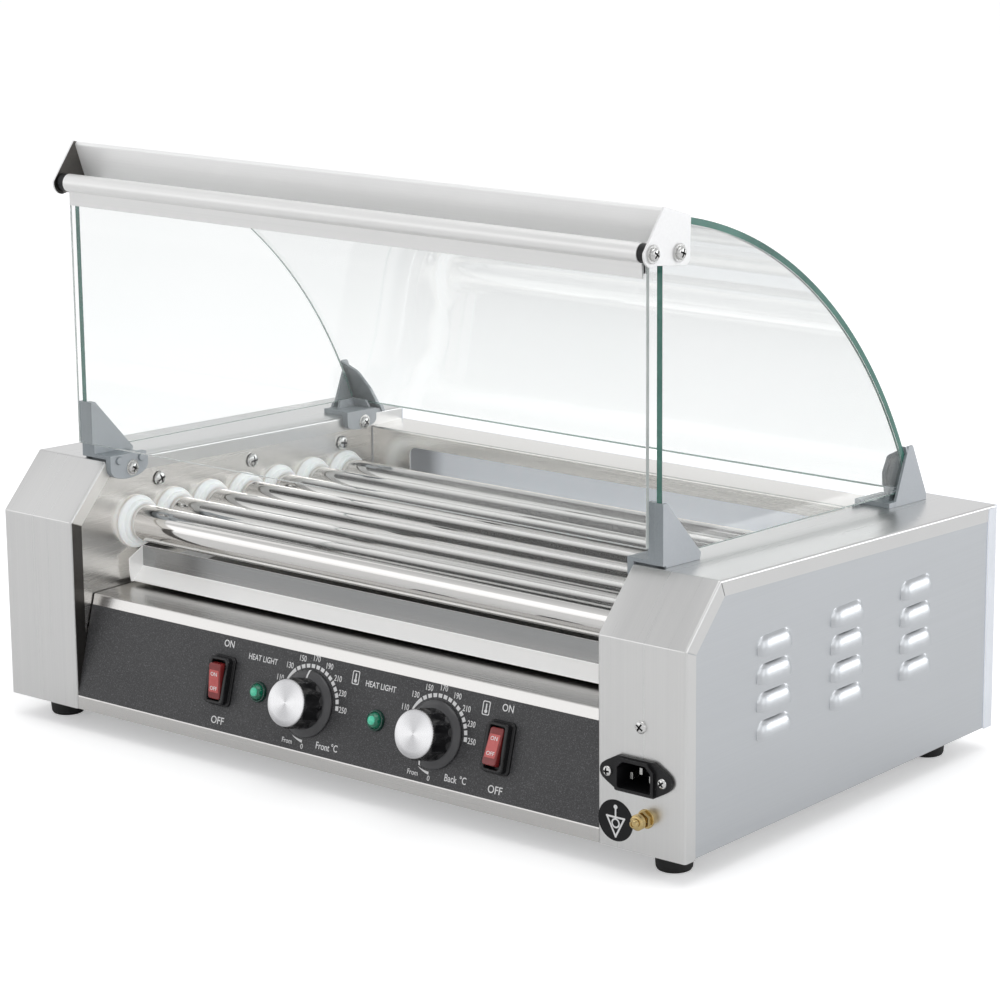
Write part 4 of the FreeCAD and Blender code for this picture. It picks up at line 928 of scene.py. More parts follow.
def dial_pointer(x, bearing):
    """The white line over the skirt, from the grip to the rim."""
    line = ((16.4, 4.6), (17.2, 4.5), (18.3, 4.15), (KNOB_SKIRT - 0.3, 2.6), (KNOB_SKIRT + 0.1, 1.6))
    half, thick = 0.6, 0.12
    angle = math.radians(bearing)
    out = Vector((math.sin(angle), -math.cos(angle)))
    side = Vector((out.y, -out.x)) * half
    rings = []
    for radius, height in line:
        ring = []
        for way, lift in ((-1, 0.0), (1, 0.0), (1, thick), (-1, thick)):
            at = Vector((x, CONTROL_DROP)) + out * (radius + lift) + side * way
            ring.append(panel_on(at.x, at.y, height + lift))
        rings.append(ring)
    return skinned(rings)


def dial_cap(name, x):
    """A spun disc with a turned edge, its own Z axis along the dial's, so that its grain runs round."""
    profile = [(0, 0), (15.2, 0), (15.2, 0.8), (15.0, 1.15), (14.7, 1.25), (11.0, 1.38), (6.0, 1.55),
               (0, 1.7)]
    bm = lathe(profile, (0, 0), flat_on, 96)
    for vert in bm.verts:
        vert.co *= MM
    full_name = f"{name}_dial_cap"
    obj = linked(full_name, smoothed(mesh_from(full_name, bm), 50.0))
    out = Vector((0, -math.cos(PANEL_LEAN), math.sin(PANEL_LEAN)))
    right = Vector((1, 0, 0))
    up = out.cross(right)
    turn = Matrix((right, up, out)).transposed().to_4x4()
    obj.matrix_world = Matrix.Translation(spot(*panel_on(x, CONTROL_DROP, KNOB_HEIGHT))) @ turn
    return obj


def stepped_block(x, drop, steps, turn):
    """A rounded block through steps of (half width, half height, corner radius, height)."""
    return loft([(rectangle(x - wide, drop - tall, x + wide, drop + tall, radius), height)
                 for wide, tall, radius, height in steps], turn)


def build_switches():
    """Stepped black bezels, and tilted red rockers with a raised window and ON and OFF marks."""
    bezels = bmesh.new()
    steps = ((10.0, 16.5, 3.5, OVERLAY), (10.0, 16.5, 3.5, 1.6), (9.7, 16.2, 3.2, 2.0),
             (8.9, 15.6, 3.0, 2.2), (8.7, 15.4, 2.9, 2.5), (8.6, 15.3, 2.8, 6.2),
             (8.3, 15.0, 2.6, 6.8), (7.9, 14.6, 2.4, 7.0), (6.4, 13.8, 1.9, 7.0), (6.0, 13.4, 1.6, 6.8),
             (5.7, 13.2, 1.5, 6.3), (5.7, 13.2, 1.5, 0.9))
    for x in SWITCH_X:
        join(bezels, stepped_block(x, SWITCH_DROP, steps, panel_on))
    piece(new_object("switch_frames", bezels, 25.0), "chassis", "black_gloss", M["gloss"],
          "switch_housings")
    for side, x, tilt in (("left", SWITCH_X[0], ROCKER_TILT), ("right", SWITCH_X[1], -ROCKER_TILT)):
        lean = math.radians(tilt)

        def tilted(u, v, w):
            """u across the panel's slope, v off it, w along X; tilted about the pivot."""
            along = u * math.cos(lean) - v * math.sin(lean)
            off = u * math.sin(lean) + v * math.cos(lean)
            return panel_on(w, SWITCH_DROP - along, ROCKER_PIVOT + off)

        def on_rocker(u, v, w):
            """u along X, v across the panel's slope, w off the rocker."""
            return tilted(v, w, u)

        shape = ((5.2, 11.8, 1.8, -1.0), (5.2, 11.8, 1.8, 3.9), (5.0, 11.6, 1.7, 4.3),
                 (4.7, 11.3, 1.5, 4.5), (4.2, 10.8, 1.2, 4.55))
        rocker = new_object(f"{side}_rocker_cap", stepped_block(x, 0.0, shape, on_rocker), 25.0)
        piece(rocker, f"{side}_switch", "red_rocker", M["red"], f"{side}_rocker")
        shape = ((4.1, 7.4, 0.7, 4.4), (4.1, 7.4, 0.7, 4.75), (3.9, 7.2, 0.6, 4.9))
        window = new_object(f"{side}_rocker_window", stepped_block(x, 0.0, shape, on_rocker), 25.0)
        piece(window, f"{side}_switch", "red_rocker", M["red_window"])
        marks = bmesh.new()
        for word, along in (("ON", 4.6), ("OFF", -4.8)):
            join(marks, lettering(word, 2.6, lambda u, v, w: tilted(along + v, 4.93 + w, x + u)))
        piece(new_object(f"{side}_rocker_words", marks), f"{side}_switch", "red_rocker", M["print"])


def lettering(word, size, turn, width=1.0):
    """A word as thin raised print, centred on the turn's origin."""
    curve = bpy.data.curves.new("word", "FONT")
    curve.body = word
    curve.align_x = "CENTER"
    curve.align_y = "CENTER"
    curve.size = size * 1.38
    curve.extrude = 0.03
    curve.offset = 0.012 * size
    curve.resolution_u = 3
    holder = linked("word", curve)
    graph = bpy.context.evaluated_depsgraph_get()
    graph.update()
    mesh = bpy.data.meshes.new_from_object(holder.evaluated_get(graph))
    bpy.data.objects.remove(holder)
    bpy.data.curves.remove(curve)
    bm = bmesh.new()
    bm.from_mesh(mesh)
    bpy.data.meshes.remove(mesh)
    for vert in bm.verts:
        u, v, w = vert.co
        vert.co = turn(u * width, v, w)
    bmesh.ops.recalc_face_normals(bm, faces=bm.faces)
    return bm


def build_lamps():
    """Green lenses: a stepped collar, a groove and a dome with a flat crown."""
    bm = bmesh.new()
    profiles = ([(0, -1), (4.9, -1), (4.9, OVERLAY), (6.8, OVERLAY), (6.8, 1.5), (6.4, 2.2), (5.7, 2.4),
                 (5.2, 2.0), (0, 2.0)],
                [(0, 1.9), (5.2, 1.9), (5.1, 2.6), (4.8, 3.6), (4.1, 4.6), (3.3, 5.2), (0, 5.2)],
                [(0, 5.1), (2.9, 5.1), (2.7, 5.6), (1.6, 6.1), (0, 6.3)])
    for x in LAMP_X:
        for index, profile in enumerate(profiles):
            ring = lathe(profile, (x, CONTROL_DROP), panel_on, 48)
            for face in ring.faces:
                face.material_index = index
            join(bm, ring)
    piece(new_object("lamp_lenses", bm, 35.0), "chassis", "green_lens",
          (M["green_rim"], M["green"], M["green_crown"]), "indicator_lamps")


PRINT_LIFT = OVERLAY + 0.04
PRINT_LOW, PRINT_HIGH = PRINT_LIFT - 0.02, PRINT_LIFT + 0.03


def on_print(x, drop):
    """Places flat print with its centre at x and drop."""
    return lambda u, v, w: panel_on(x + u, drop - v, PRINT_LIFT + w)


def round_dial(x, radius, bearing):
    """The point at a bearing round a dial, in degrees clockwise from the top, as x and drop."""
    angle = math.radians(bearing)
    return (x + radius * math.sin(angle), CONTROL_DROP - radius * math.cos(angle))


def thin_print(outline):
    """A flat shape printed on the panel, drawn in x and drop."""
    return prism(outline, PRINT_LOW, PRINT_HIGH, panel_on)


def dial_block(x, bearing, near, far, half_width):
    """A block of the scale's arc, from one radius to another."""
    shifts = ((near, -half_width), (far, -half_width), (far, half_width), (near, half_width))
    return thin_print([round_dial(x, radius, bearing + shift) for radius, shift in shifts])


def dial_line(x, start, end, near, widths):
    """A line round the dial that swells from one width to another."""
    steps = 24
    outer, inner = [], []
    for k in range(steps + 1):
        share = k / steps
        bearing = start + (end - start) * share
        width = widths[0] + (widths[1] - widths[0]) * share
        inner.append(round_dial(x, near, bearing))
        outer.append(round_dial(x, near + width, bearing))
    return thin_print(inner + outer[::-1])


DIAL_NUMBERS = ((-65, "110"), (-43, "130"), (-20, "150"), (3, "170"), (26, "190"), (47, "210"),
                (67, "230"), (88, "250"))
SCALE_NEAR, SCALE_FAR = 23.2, 25.7
NUMBER_RADIUS = 29.4


def build_print():
    """White print on the overlay: dial scales, captions and thermometer signs."""
    bm = bmesh.new()
    for x, name, icon in ((KNOB_X[0] + 0.8, "Front", 302.2), (KNOB_X[1], "Back", 408.4)):
        for bearing, number in DIAL_NUMBERS:
            join(bm, lettering(number, 3.9, on_print(*round_dial(x, NUMBER_RADIUS, bearing)), 0.80))
        for k in range(13):
            bearing = -30 + 9.7 * k
            join(bm, dial_block(x, bearing, SCALE_NEAR, SCALE_FAR, 3.4))
        join(bm, dial_line(x, -80, -36, SCALE_NEAR, (0.3, SCALE_FAR - SCALE_NEAR)))
        join(bm, dial_line(x, -158, -180, SCALE_NEAR, (0.2, 1.9)))
        join(bm, lettering("From", 3.3, on_print(x - 12.6, 64.8), 0.9))
        join(bm, lettering("0", 3.3, on_print(x + 0.4, 66.2)))
        join(bm, lettering(name, 4.6, on_print(x + 17.6, 63.2), 0.82))
        join(bm, lettering("°C", 4.6, on_print(x + 27.4, 62.6), 0.82))
        join(bm, thermometer(icon, 15.4))
    for x in LAMP_X:
        join(bm, lettering("HEAT LIGHT", 3.9, on_print(x - 0.6, 17.5), 0.84))
    for x in SWITCH_X:
        join(bm, lettering("ON", 4.7, on_print(x + 1.2, 12.8), 0.9))
        join(bm, lettering("OFF", 5.0, on_print(x + 1.0, 63.3), 0.95))
    piece(new_object("panel_print", bm), "chassis", "black_film", M["print"])


def thermometer(x, drop):
    """A thermometer sign: a rounded frame round a stem and a bulb."""
    half_wide, half_tall, line = 2.9, 4.4, 0.6
    frame_outer = rectangle(x - half_wide, drop - half_tall, x + half_wide, drop + half_tall, 1.1)
    frame_inner = rectangle(x - half_wide + line, drop - half_tall + line, x + half_wide - line,
                            drop + half_tall - line, 0.8)
    bm = bmesh.new()
    count = len(frame_outer)
    rings = [[bm.verts.new(panel_on(u, v, w)) for u, v in loop]
             for w in (PRINT_LOW, PRINT_HIGH) for loop in (frame_outer, frame_inner)]
    for i in range(count):
        j = (i + 1) % count
        for a, b in ((0, 1), (2, 3), (0, 2), (1, 3)):
            bm.faces.new((rings[a][i], rings[a][j], rings[b][j], rings[b][i]))
    bmesh.ops.recalc_face_normals(bm, faces=bm.faces)
    join(bm, thin_print(rectangle(x - 0.5, drop - 2.8, x + 0.5, drop + 1.2, 0.45)))
    join(bm, thin_print(arc((x, drop + 2.0), 1.15, 0, 350, 20)))
    return bm


build_knobs()
build_switches()
build_lamps()
build_print()


# ---------------------------------------------------------------- inlet and earth terminal

def socket_shape(half_wide, half_tall, shoulder, half_top, foot_round, corner_round):
    """The appliance inlet's outline: a block with its two upper corners cut off."""
    x, z = INLET_X, INLET_Z
    outline = [(x - half_wide, z - half_tall, foot_round), (x + half_wide, z - half_tall, foot_round),
               (x + half_wide, z + shoulder, corner_round), (x + half_top, z + half_tall, corner_round),
               (x - half_top, z + half_tall, corner_round), (x - half_wide, z + shoulder, corner_round)]
    return filleted(outline, 1.0, 4)


def build_inlet():
    """The appliance inlet: a flange with round ends, a raised rim and a deep cavity."""
    x, z = INLET_X, INLET_Z
    flange = [(x - 13, z - 11, 1), (x + 13, z - 11, 1), (x + 21, z - 6.6, 2)]
    flange += [(p[0], p[1], 0) for p in arc((x + 20.4, z), 5.8, -60, 60, 10)]
    flange += [(x + 21, z + 6.6, 2), (x + 13, z + 11, 1), (x - 13, z + 11, 1), (x - 21, z + 6.6, 2)]
    flange += [(p[0], p[1], 0) for p in arc((x - 20.4, z), 5.8, 120, 240, 10)]
    flange += [(x - 21, z - 6.6, 2)]
    obj = new_object("inlet_body", prism(filleted(flange, 1.0, 3), 0.0, 2.6, front_on))
    block = rectangle(x - 13.8, z - 10.1, x + 13.8, z + 10.1, 1.0)
    rear = new_object("inlet_rear", prism(block, -24, 1.0, front_on))
    combined(obj, rear, "UNION")
    rim = socket_shape(14.2, 10.2, 5.4, 9.4, 1.5, 0.6)
    combined(obj, new_object("inlet_rim", prism(rim, 1.0, 4.6, front_on)), "UNION")
    cavity = socket_shape(12.2, 8.2, 4.2, 8.2, 1.0, 0.5)
    hollow = prism(cavity, -20, 9, front_on)
    combined(obj, new_object("cutter", hollow), "DIFFERENCE")
    bevelled(obj, 0.35, 2)
    piece(obj, "chassis", "black_plastic", M["plastic"], "power_inlet")


def build_terminal():
    """The earth stud with rolled thread, a chamfered nut, a round collar and a washer."""
    x, z = TERMINAL_X, TERMINAL_Z
    centre = (x, z)
    profile = [(0, -10.0), (2.6, -10.0)]
    pitch = 0.9
    turns = 24
    for k in range(turns):
        height = -9.0 + pitch * k
        profile += [(2.6, height), (2.2, height + pitch / 2)]
    profile += [(2.6, 12.7), (2.2, 13.2), (1.5, 13.2), (1.3, 12.5), (0, 12.3)]
    bm = lathe(profile, centre, front_on, 40)
    join(bm, lathe([(2.5, 0.0), (5.9, 0.0), (5.9, 0.6), (5.7, 0.8), (2.5, 0.8)], centre, front_on, 48))
    join(bm, chamfered_nut(centre, 0.9, 3.4, 5.2))
    collar = [(2.5, 6.2), (4.3, 6.2), (4.8, 6.7), (4.8, 7.4), (4.4, 7.8), (4.8, 8.2), (4.8, 9.4),
              (4.3, 10.0), (3.6, 10.3), (2.5, 10.3)]
    join(bm, lathe(collar, centre, front_on, 48))
    piece(new_object("earth_stud", bm, 30.0), "chassis", "brass", M["brass"], "earth_terminal")
    disc_centre = (519.1, 16.9)
    radius = 12.85
    sticker = prism(arc(disc_centre, radius, 0, 352.5, 47), 0.0, 0.12, front_on)
    piece(new_object("earth_sticker", sticker), "chassis", "stainless_steel", M["sticker"])
    piece(new_object("earth_sign", earth_sign(disc_centre)), "chassis", "stainless_steel", M["print"])


def chamfered_nut(centre, low, height, radius):
    """A hexagon nut whose corners are turned off."""
    sixth = math.pi / 3
    turned, step = 5.15, 0.5
    angles = [2 * math.pi * k / 48 for k in range(48)]
    rings = []
    high = low + height
    for w, cap in ((low, turned), (low + step, radius), (high - step, radius), (high, turned)):
        ring = []
        for angle in angles:
            from_flat = (angle + sixth / 2) % sixth - sixth / 2
            r = min(radius * math.cos(sixth / 2) / math.cos(from_flat), cap)
            ring.append(front_on(centre[0] + r * math.cos(angle), centre[1] + r * math.sin(angle), w))
        rings.append(ring)
    return skinned(rings)


def earth_sign(centre):
    """The bonding sign: a triangle on its point, a ring inside it and a stem above."""
    x, z = centre
    low, high = 0.10, 0.17
    bm = bmesh.new()

    def stroke(a, b, width, level):
        """A straight line of the sign, each on a level of its own."""
        a, b = Vector(a), Vector(b)
        way = (b - a).normalized()
        side = Vector((-way.y, way.x)) * width / 2
        corners = [a - side - way * width / 2, b - side + way * width / 2, b + side + way * width / 2,
                   a + side - way * width / 2]
        join(bm, prism([tuple(p) for p in corners], low, high + 0.01 * level, front_on))

    left, right, foot = (x - 6.4, z + 2.0), (x + 6.4, z + 2.0), (x, z - 10.0)
    stroke(left, right, 1.2, 0)
    stroke(left, foot, 1.2, 1)
    stroke(right, foot, 1.2, 2)
    stroke((x, z + 2.0), (x, z + 8.0), 1.1, 3)
    join(bm, prism(arc((x, z + 8.4), 1.4, 0, 345, 23), low, high + 0.04, front_on))
    ring = [(2.1, low), (3.1, low), (3.1, high + 0.05), (2.1, high + 0.05)]
    join(bm, lathe(ring, (x, z - 1.7), front_on, 32))
    return bm


build_inlet()
build_terminal()


# ---------------------------------------------------------------- hood

PANE_FRONT, PANE_NOTCH = 36.0, (47.6, 349.6)


def build_side_glass():
    """The side panes: flat, with a curved rear edge and a notch under the rail."""
    outline = [(PANE_FRONT, top_z(PANE_FRONT) + 5.6)]
    outline += hood_arc(HOOD_RADIUS - GLASS, 159.6, PANE_NOTCH[0], 64)
    outline += [PANE_NOTCH, (PANE_FRONT, PANE_NOTCH[1])]
    for side, x in (("left", GLASS_X), ("right", WIDTH - GLASS_X - GLASS)):
        bm = prism(outline, x, x + GLASS, side_on, 1)
        obj = bevelled(new_object(f"{side}_pane", bm), 0.35, 2)
        piece(obj, "chassis", "clear_glass", (M["glass"], M["glass_edge"]), f"{side}_side_glass")


def build_curved_pane():
    """The bent rear pane; its sides and ends show the green of the cut glass."""
    low, high = GLASS_X, WIDTH - GLASS_X
    steps = 96
    outer_line = hood_arc(HOOD_RADIUS, 160.0, 48.0, steps)
    shrink = (HOOD_RADIUS - GLASS + 0.02) / HOOD_RADIUS
    inner_line = [(HOOD_Y + (y - HOOD_Y) * shrink, HOOD_Z + (z - HOOD_Z) * shrink)
                  for y, z in outer_line]
    rings = [((low, *outside), (high, *outside), (high, *inside), (low, *inside))
             for outside, inside in zip(outer_line, inner_line)]
    bm = skinned(rings)
    for k, face in enumerate(bm.faces):
        face.material_index = 1 if k % 2 or k >= 4 * steps else 0
    piece(new_object("bent_pane", bm), "chassis", "clear_glass", (M["glass"], M["glass_edge"]),
          "curved_cover")


def build_front_pane():
    """The flat front pane; only its two broad faces are clear."""
    front, back, foot, top, inset = 26.0, 29.0, 177.0, 346.8, 4.0
    outline = rectangle(front, foot, back, top)
    bm = prism(outline, GLASS_X + inset, WIDTH - GLASS_X - inset)
    for face in bm.faces:
        from_middle = abs(face.calc_center_median().y - (front + back) / 2)
        face.material_index = 0 if from_middle > 1.4 else 1
    obj = bevelled(new_object("door_pane", bm), 0.35, 2)
    piece(obj, "front_door", "clear_glass", (M["glass"], M["pale_edge"]), "front_pane")


RAIL_RIDGE, RAIL_REAR = (36.0, 378.6), 62.0
PLATE_GAUGE = 1.5


def build_rail():
    """The folded top rail, and the end plates that hold it, the panes and the hinge."""
    rear_z = HOOD_Z + math.sqrt(HOOD_RADIUS ** 2 - (RAIL_REAR - HOOD_Y) ** 2) + 1.5
    line = [(42.6, 359.5), RAIL_RIDGE, (RAIL_REAR, rear_z)]
    bm = folded_sheet(folded_path(line, 1.8, 8), strip_section(GLASS_X, WIDTH - GLASS_X, 1.4))
    # The front leg runs on down, behind the hinge.
    lower = [(42.6, 359.6), (45.9, 350.0), (47.2, 350.4), (43.9, 360.0)]
    join(bm, prism(lower, GLASS_X + 0.05, WIDTH - GLASS_X - 0.05))
    piece(new_object("hood_rail", bm), "chassis", "rail_steel", M["rail"], "top_rail")
    outline = [(*RAIL_RIDGE, 1.0), (RAIL_REAR, rear_z, 0.6), (61.2, 344.5, 3.0), (58.0, 341.2, 2.0),
               (28.0, 345.2, 3.0)]
    outline += [(p[0], p[1], 0) for p in arc((HINGE_Y, HINGE_Z), 8.0, 270, 170, 12)]
    outline = filleted(outline, 1.0, 5)
    plates = bmesh.new()
    for x in (GLASS_X - PLATE_GAUGE, WIDTH - GLASS_X):
        join(plates, prism(outline, x, x + PLATE_GAUGE))
    # Painted shade: the inner face of the left end plate takes the dark shade steel.
    for face in plates.faces:
        face.normal_update()
        inside = GLASS_X - 0.6 < face.calc_center_median().x < GLASS_X + 0.1
        face.material_index = 1 if inside and face.normal.x > 0.9 else 0
    obj = bevelled(new_object("end_plates", plates), 0.3, 2)
    piece(obj, "chassis", "rail_steel", (M["plate"], M["shade"]), "rail_end_plates")


def build_hinge():
    """The tubular hinge with two lips that grip the front pane, and its end plugs."""
    y, z, r = HINGE_Y, HINGE_Z, HINGE_RADIUS
    low, high = GLASS_X + 6.0, WIDTH - GLASS_X - 6.0
    outline = [(24.6, 337.5), (26.0, 337.5), (26.0, 347.3), (29.0, 349.4), (29.0, 340.0), (30.2, 340.0)]
    outline += arc((y, z), r, -4, 266, 40)
    bm = prism(outline, low, high)
    for x in (low, high):
        join(bm, lathe([(2.6, x - 0.02), (5.4, x - 0.02), (5.4, x + 0.02), (2.6, x + 0.02)], (y, z)))
    obj = bevelled(new_object("door_hinge", bm), 0.25, 2)
    piece(obj, "front_door", "hinge_aluminium", M["hinge"], "hinge_profile")
    caps = bmesh.new()
    for mirror in (False, True):
        x0, x1 = GLASS_X + 0.4, low
        part = lathe([(1.95, x0), (5.3, x0), (5.8, x0 + 0.5), (5.8, x1 - 0.5), (5.3, x1), (1.95, x1)],
                     (y, z), side_on, 48)
        if mirror:
            to_other_side(part)
        join(caps, part)
    piece(new_object("hinge_plugs", caps, 40.0), "front_door", "black_plastic", M["plastic"],
          "hinge_end_caps")


build_side_glass()
build_curved_pane()
build_front_pane()
build_rail()
build_hinge()


# ---------------------------------------------------------------- brackets

def along_top(y0, y1, rise):
    """A strip that lies along the housing's sloping top."""
    return over_top((y0, 0.0), (y1, 0.0), (y1, rise), (y0, rise))


def over_top(*pairs):
    """Points given as depth and height over the housing's sloping top."""
    return [(y, top_z(y) + rise) for y, rise in pairs]


def half_moon(y0, y1, low, rise):
    """A tab with a straight top and a rounded foot."""
    middle = (y0 + y1) / 2
    half = (y1 - y0) / 2
    drop = top_z(middle) - 4 - low
    curve = [(middle + half * math.cos(a), top_z(middle) - 4 - drop * math.sin(a) ** 0.8)
             for a in (math.pi * k / 20 for k in range(21))]
    return curve + over_top((y0, rise), (y1, rise))


def mirrored_pair(name, solids, width, segments=2):
    """Moulded solids and their mirror images on the other side, their edges rounded.

    The faces towards +X take the second material, lighter with painted light.
    """
    whole = bmesh.new()
    for solid in solids:
        other = solid.copy()
        to_other_side(other)
        join(whole, solid)
        join(whole, other)
    obj = new_object(name, whole)
    for polygon in obj.data.polygons:
        polygon.material_index = 1 if polygon.normal.x > 0.9 else 0
    return bevelled(obj, width, segments)


def build_front_brackets():
    """A shoe of two triangular cheeks round the side pane's corner, an arm, a half-moon tab."""
    y0, y1, apex = 34.6, 71.5, 203.5
    gap = 1.3
    step = y0 + 3.0
    cheek = over_top((y0, gap), (step, gap), (step, 0.02), (y1, 0.02))
    cheek += [(y1 + 1, top_z(y1) + 4.5), (y0 + 4.0, apex), (y0, apex)]
    wall = [(y0 + 0.05, top_z(y0) + gap), (y0 + 1.4, top_z(y0) + gap), (y0 + 1.4, apex - 0.1),
            (y0 + 0.05, apex - 0.1)]
    arm_lip = [(y0 + 0.1, top_z(y0) + gap), *over_top((y0 + 4.0, gap), (y0 + 4.0, 3.8)),
               (y0 + 0.1, top_z(y0) + 3.8)]
    solids = [prism(cheek, 42.0, GLASS_X - 0.05),
              prism(cheek, GLASS_X + GLASS + 0.05, 53.5),
              prism(wall, 43.8, 48.2),
              prism(along_top(y0 + 3.2, y1 - 0.1, 5.3), 43.8, 48.2),
              prism(along_top(y0 + 3.2, 66.0, 3.8), 42.1, 68.0),
              prism(arm_lip, 42.1, 67.9),
              prism(half_moon(34.6, 70.0, 150.5, 4.0), 64.0, 68.5)]
    for y in (42.0, 63.0):
        solids.append(lathe([(0, 67.0), (2.7, 67.0), (2.7, 69.6), (2.3, 70.0), (0, 70.0)],
                            (y, top_z(y) + 0.2), side_on, 24))
    obj = mirrored_pair("front_glass_shoes", solids, 0.5)
    piece(obj, "chassis", "grey_plastic", (M["bracket"], M["bracket_lit"]), "front_glass_brackets")


def build_rear_brackets():
    """A cheek outside the side pane, a leaning blade behind the bent one, low walls inside."""
    y0, y1 = 284.0, 321.5

    def lean(bm):
        """Leans a solid forward with the bent pane."""
        for vert in bm.verts:
            vert.co.y -= 0.43 * (vert.co.z - 156.0)
        return bm

    cheek = over_top((y0, 0.02), (y1, 0.02), (y1, 4.0)) + [(304.5, 189.6), (299.5, 189.6)]
    blade = filleted([(42.2, 151.5, 0.2), (69.5, 151.5, 0.2), (69.5, 155.0, 1.0), (66.0, 170.0, 8.0),
                      (58.5, 183.5, 8.0), (46.5, 189.8, 3.0), (42.2, 189.8, 0.2)], 0.2, 6)
    rib = filleted([(66.0, 151.5, 0.2), (69.4, 151.5, 0.2), (69.4, 155.0, 1.0), (65.9, 170.0, 8.0),
                    (58.4, 183.4, 8.0), (46.4, 189.7, 3.0), (44.4, 189.7, 0.2), (44.4, 186.8, 0.2),
                    (46.0, 186.6, 2.0), (56.4, 181.2, 6.0), (63.0, 169.0, 6.0),
                    (66.2, 154.5, 1.0)], 0.2, 6)
    low_wall = [(48.2, 151.5), (64.5, 151.5), (62.5, 161.0), (48.2, 161.0)]
    solids = [prism(cheek, 42.0, GLASS_X - 0.05),
              lean(prism(blade, -312.2, -310.4, front_on)),
              lean(prism(rib, -312.4, -308.9, front_on)),
              prism([(y0 + 0.5, top_z(y0) + 0.1), (303.0, top_z(303.0) + 0.1), (302.0, 161.2),
                     (287.5, 161.2)], 48.1, 50.2),
              lean(prism(low_wall, -304.5, -302.3, front_on)),
              prism(along_top(y0 + 0.1, y1 - 2, 3.6), 42.1, 53.5),
              prism(along_top(278.0, 312.0, 3.4), 42.2, 68.2),
              prism(half_moon(274.0, 305.5, 142.5, 4.0), 64.0, 68.5)]
    obj = mirrored_pair("rear_glass_shoes", solids, 0.4)
    piece(obj, "chassis", "grey_plastic", (M["bracket"], M["bracket_lit"]), "rear_glass_brackets")


build_front_brackets()
build_rear_brackets()


# ---------------------------------------------------------------- screws

def screw_mesh(head, shank):
    """A pan head screw standing on Z = 0, with a cross recess, in millimetres."""
    profile = [(0, -shank), (1.9, -shank), (1.9, 0), (head, 0), (head, 0.9), (head * 0.94, 1.35),
               (head * 0.82, 1.8), (head * 0.62, 2.15), (head * 0.35, 2.35), (0, 2.4)]
    body = lathe(profile, (0, 0), flat_on, 36)
    holder = linked("screw", mesh_from("screw", body))
    half, arm = 0.58, head * 0.66
    for a, b in ((arm, half), (half, arm)):
        cross = prism(rectangle(-a, -b, a, b), 0.9, 3.5, flat_on)
        combined(holder, linked("cross", mesh_from("cross", cross)), "DIFFERENCE")
    bm = bmesh.new()
    bm.from_mesh(holder.data)
    bpy.data.meshes.remove(holder.data)
    # Painted shade: the faces inside the cross recess take the near-black material.
    for face in bm.faces:
        centre = face.calc_center_median()
        if centre.z > 0.8 and math.hypot(centre.x, centre.y) < head * 0.64 and centre.z < 2.05:
            face.material_index = 1
    return bm


FOOT_PLACES = [(x, y) for x in (27.0, WIDTH - 27.0) for y in (26.0, 304.0)]
WALL_SCREWS = [(y, top_z(y) - 18.5) for y in (85.0, 178.5, 273.0)]
TAB_SCREWS = ((55.0, top_z(55.0) - 6), (292.0, top_z(292.0) - 5))
RAIL_SCREWS = ((50.0, 350.0), (HINGE_Y, HINGE_Z))
RAIL_WASHER = 1.2
FIRST_TURN, TURN_STEP = 20.0, 37.0      # degrees, so that no two crosses stand alike


def washer(x, gauge, radius, centre):
    """A flat ring standing on the plane at x."""
    edge = 0.15
    return lathe([(2.0, x), (radius - edge, x), (radius, x + edge), (radius, x + gauge - edge),
                  (radius - edge, x + gauge), (2.0, x + gauge)], centre, side_on, 48)


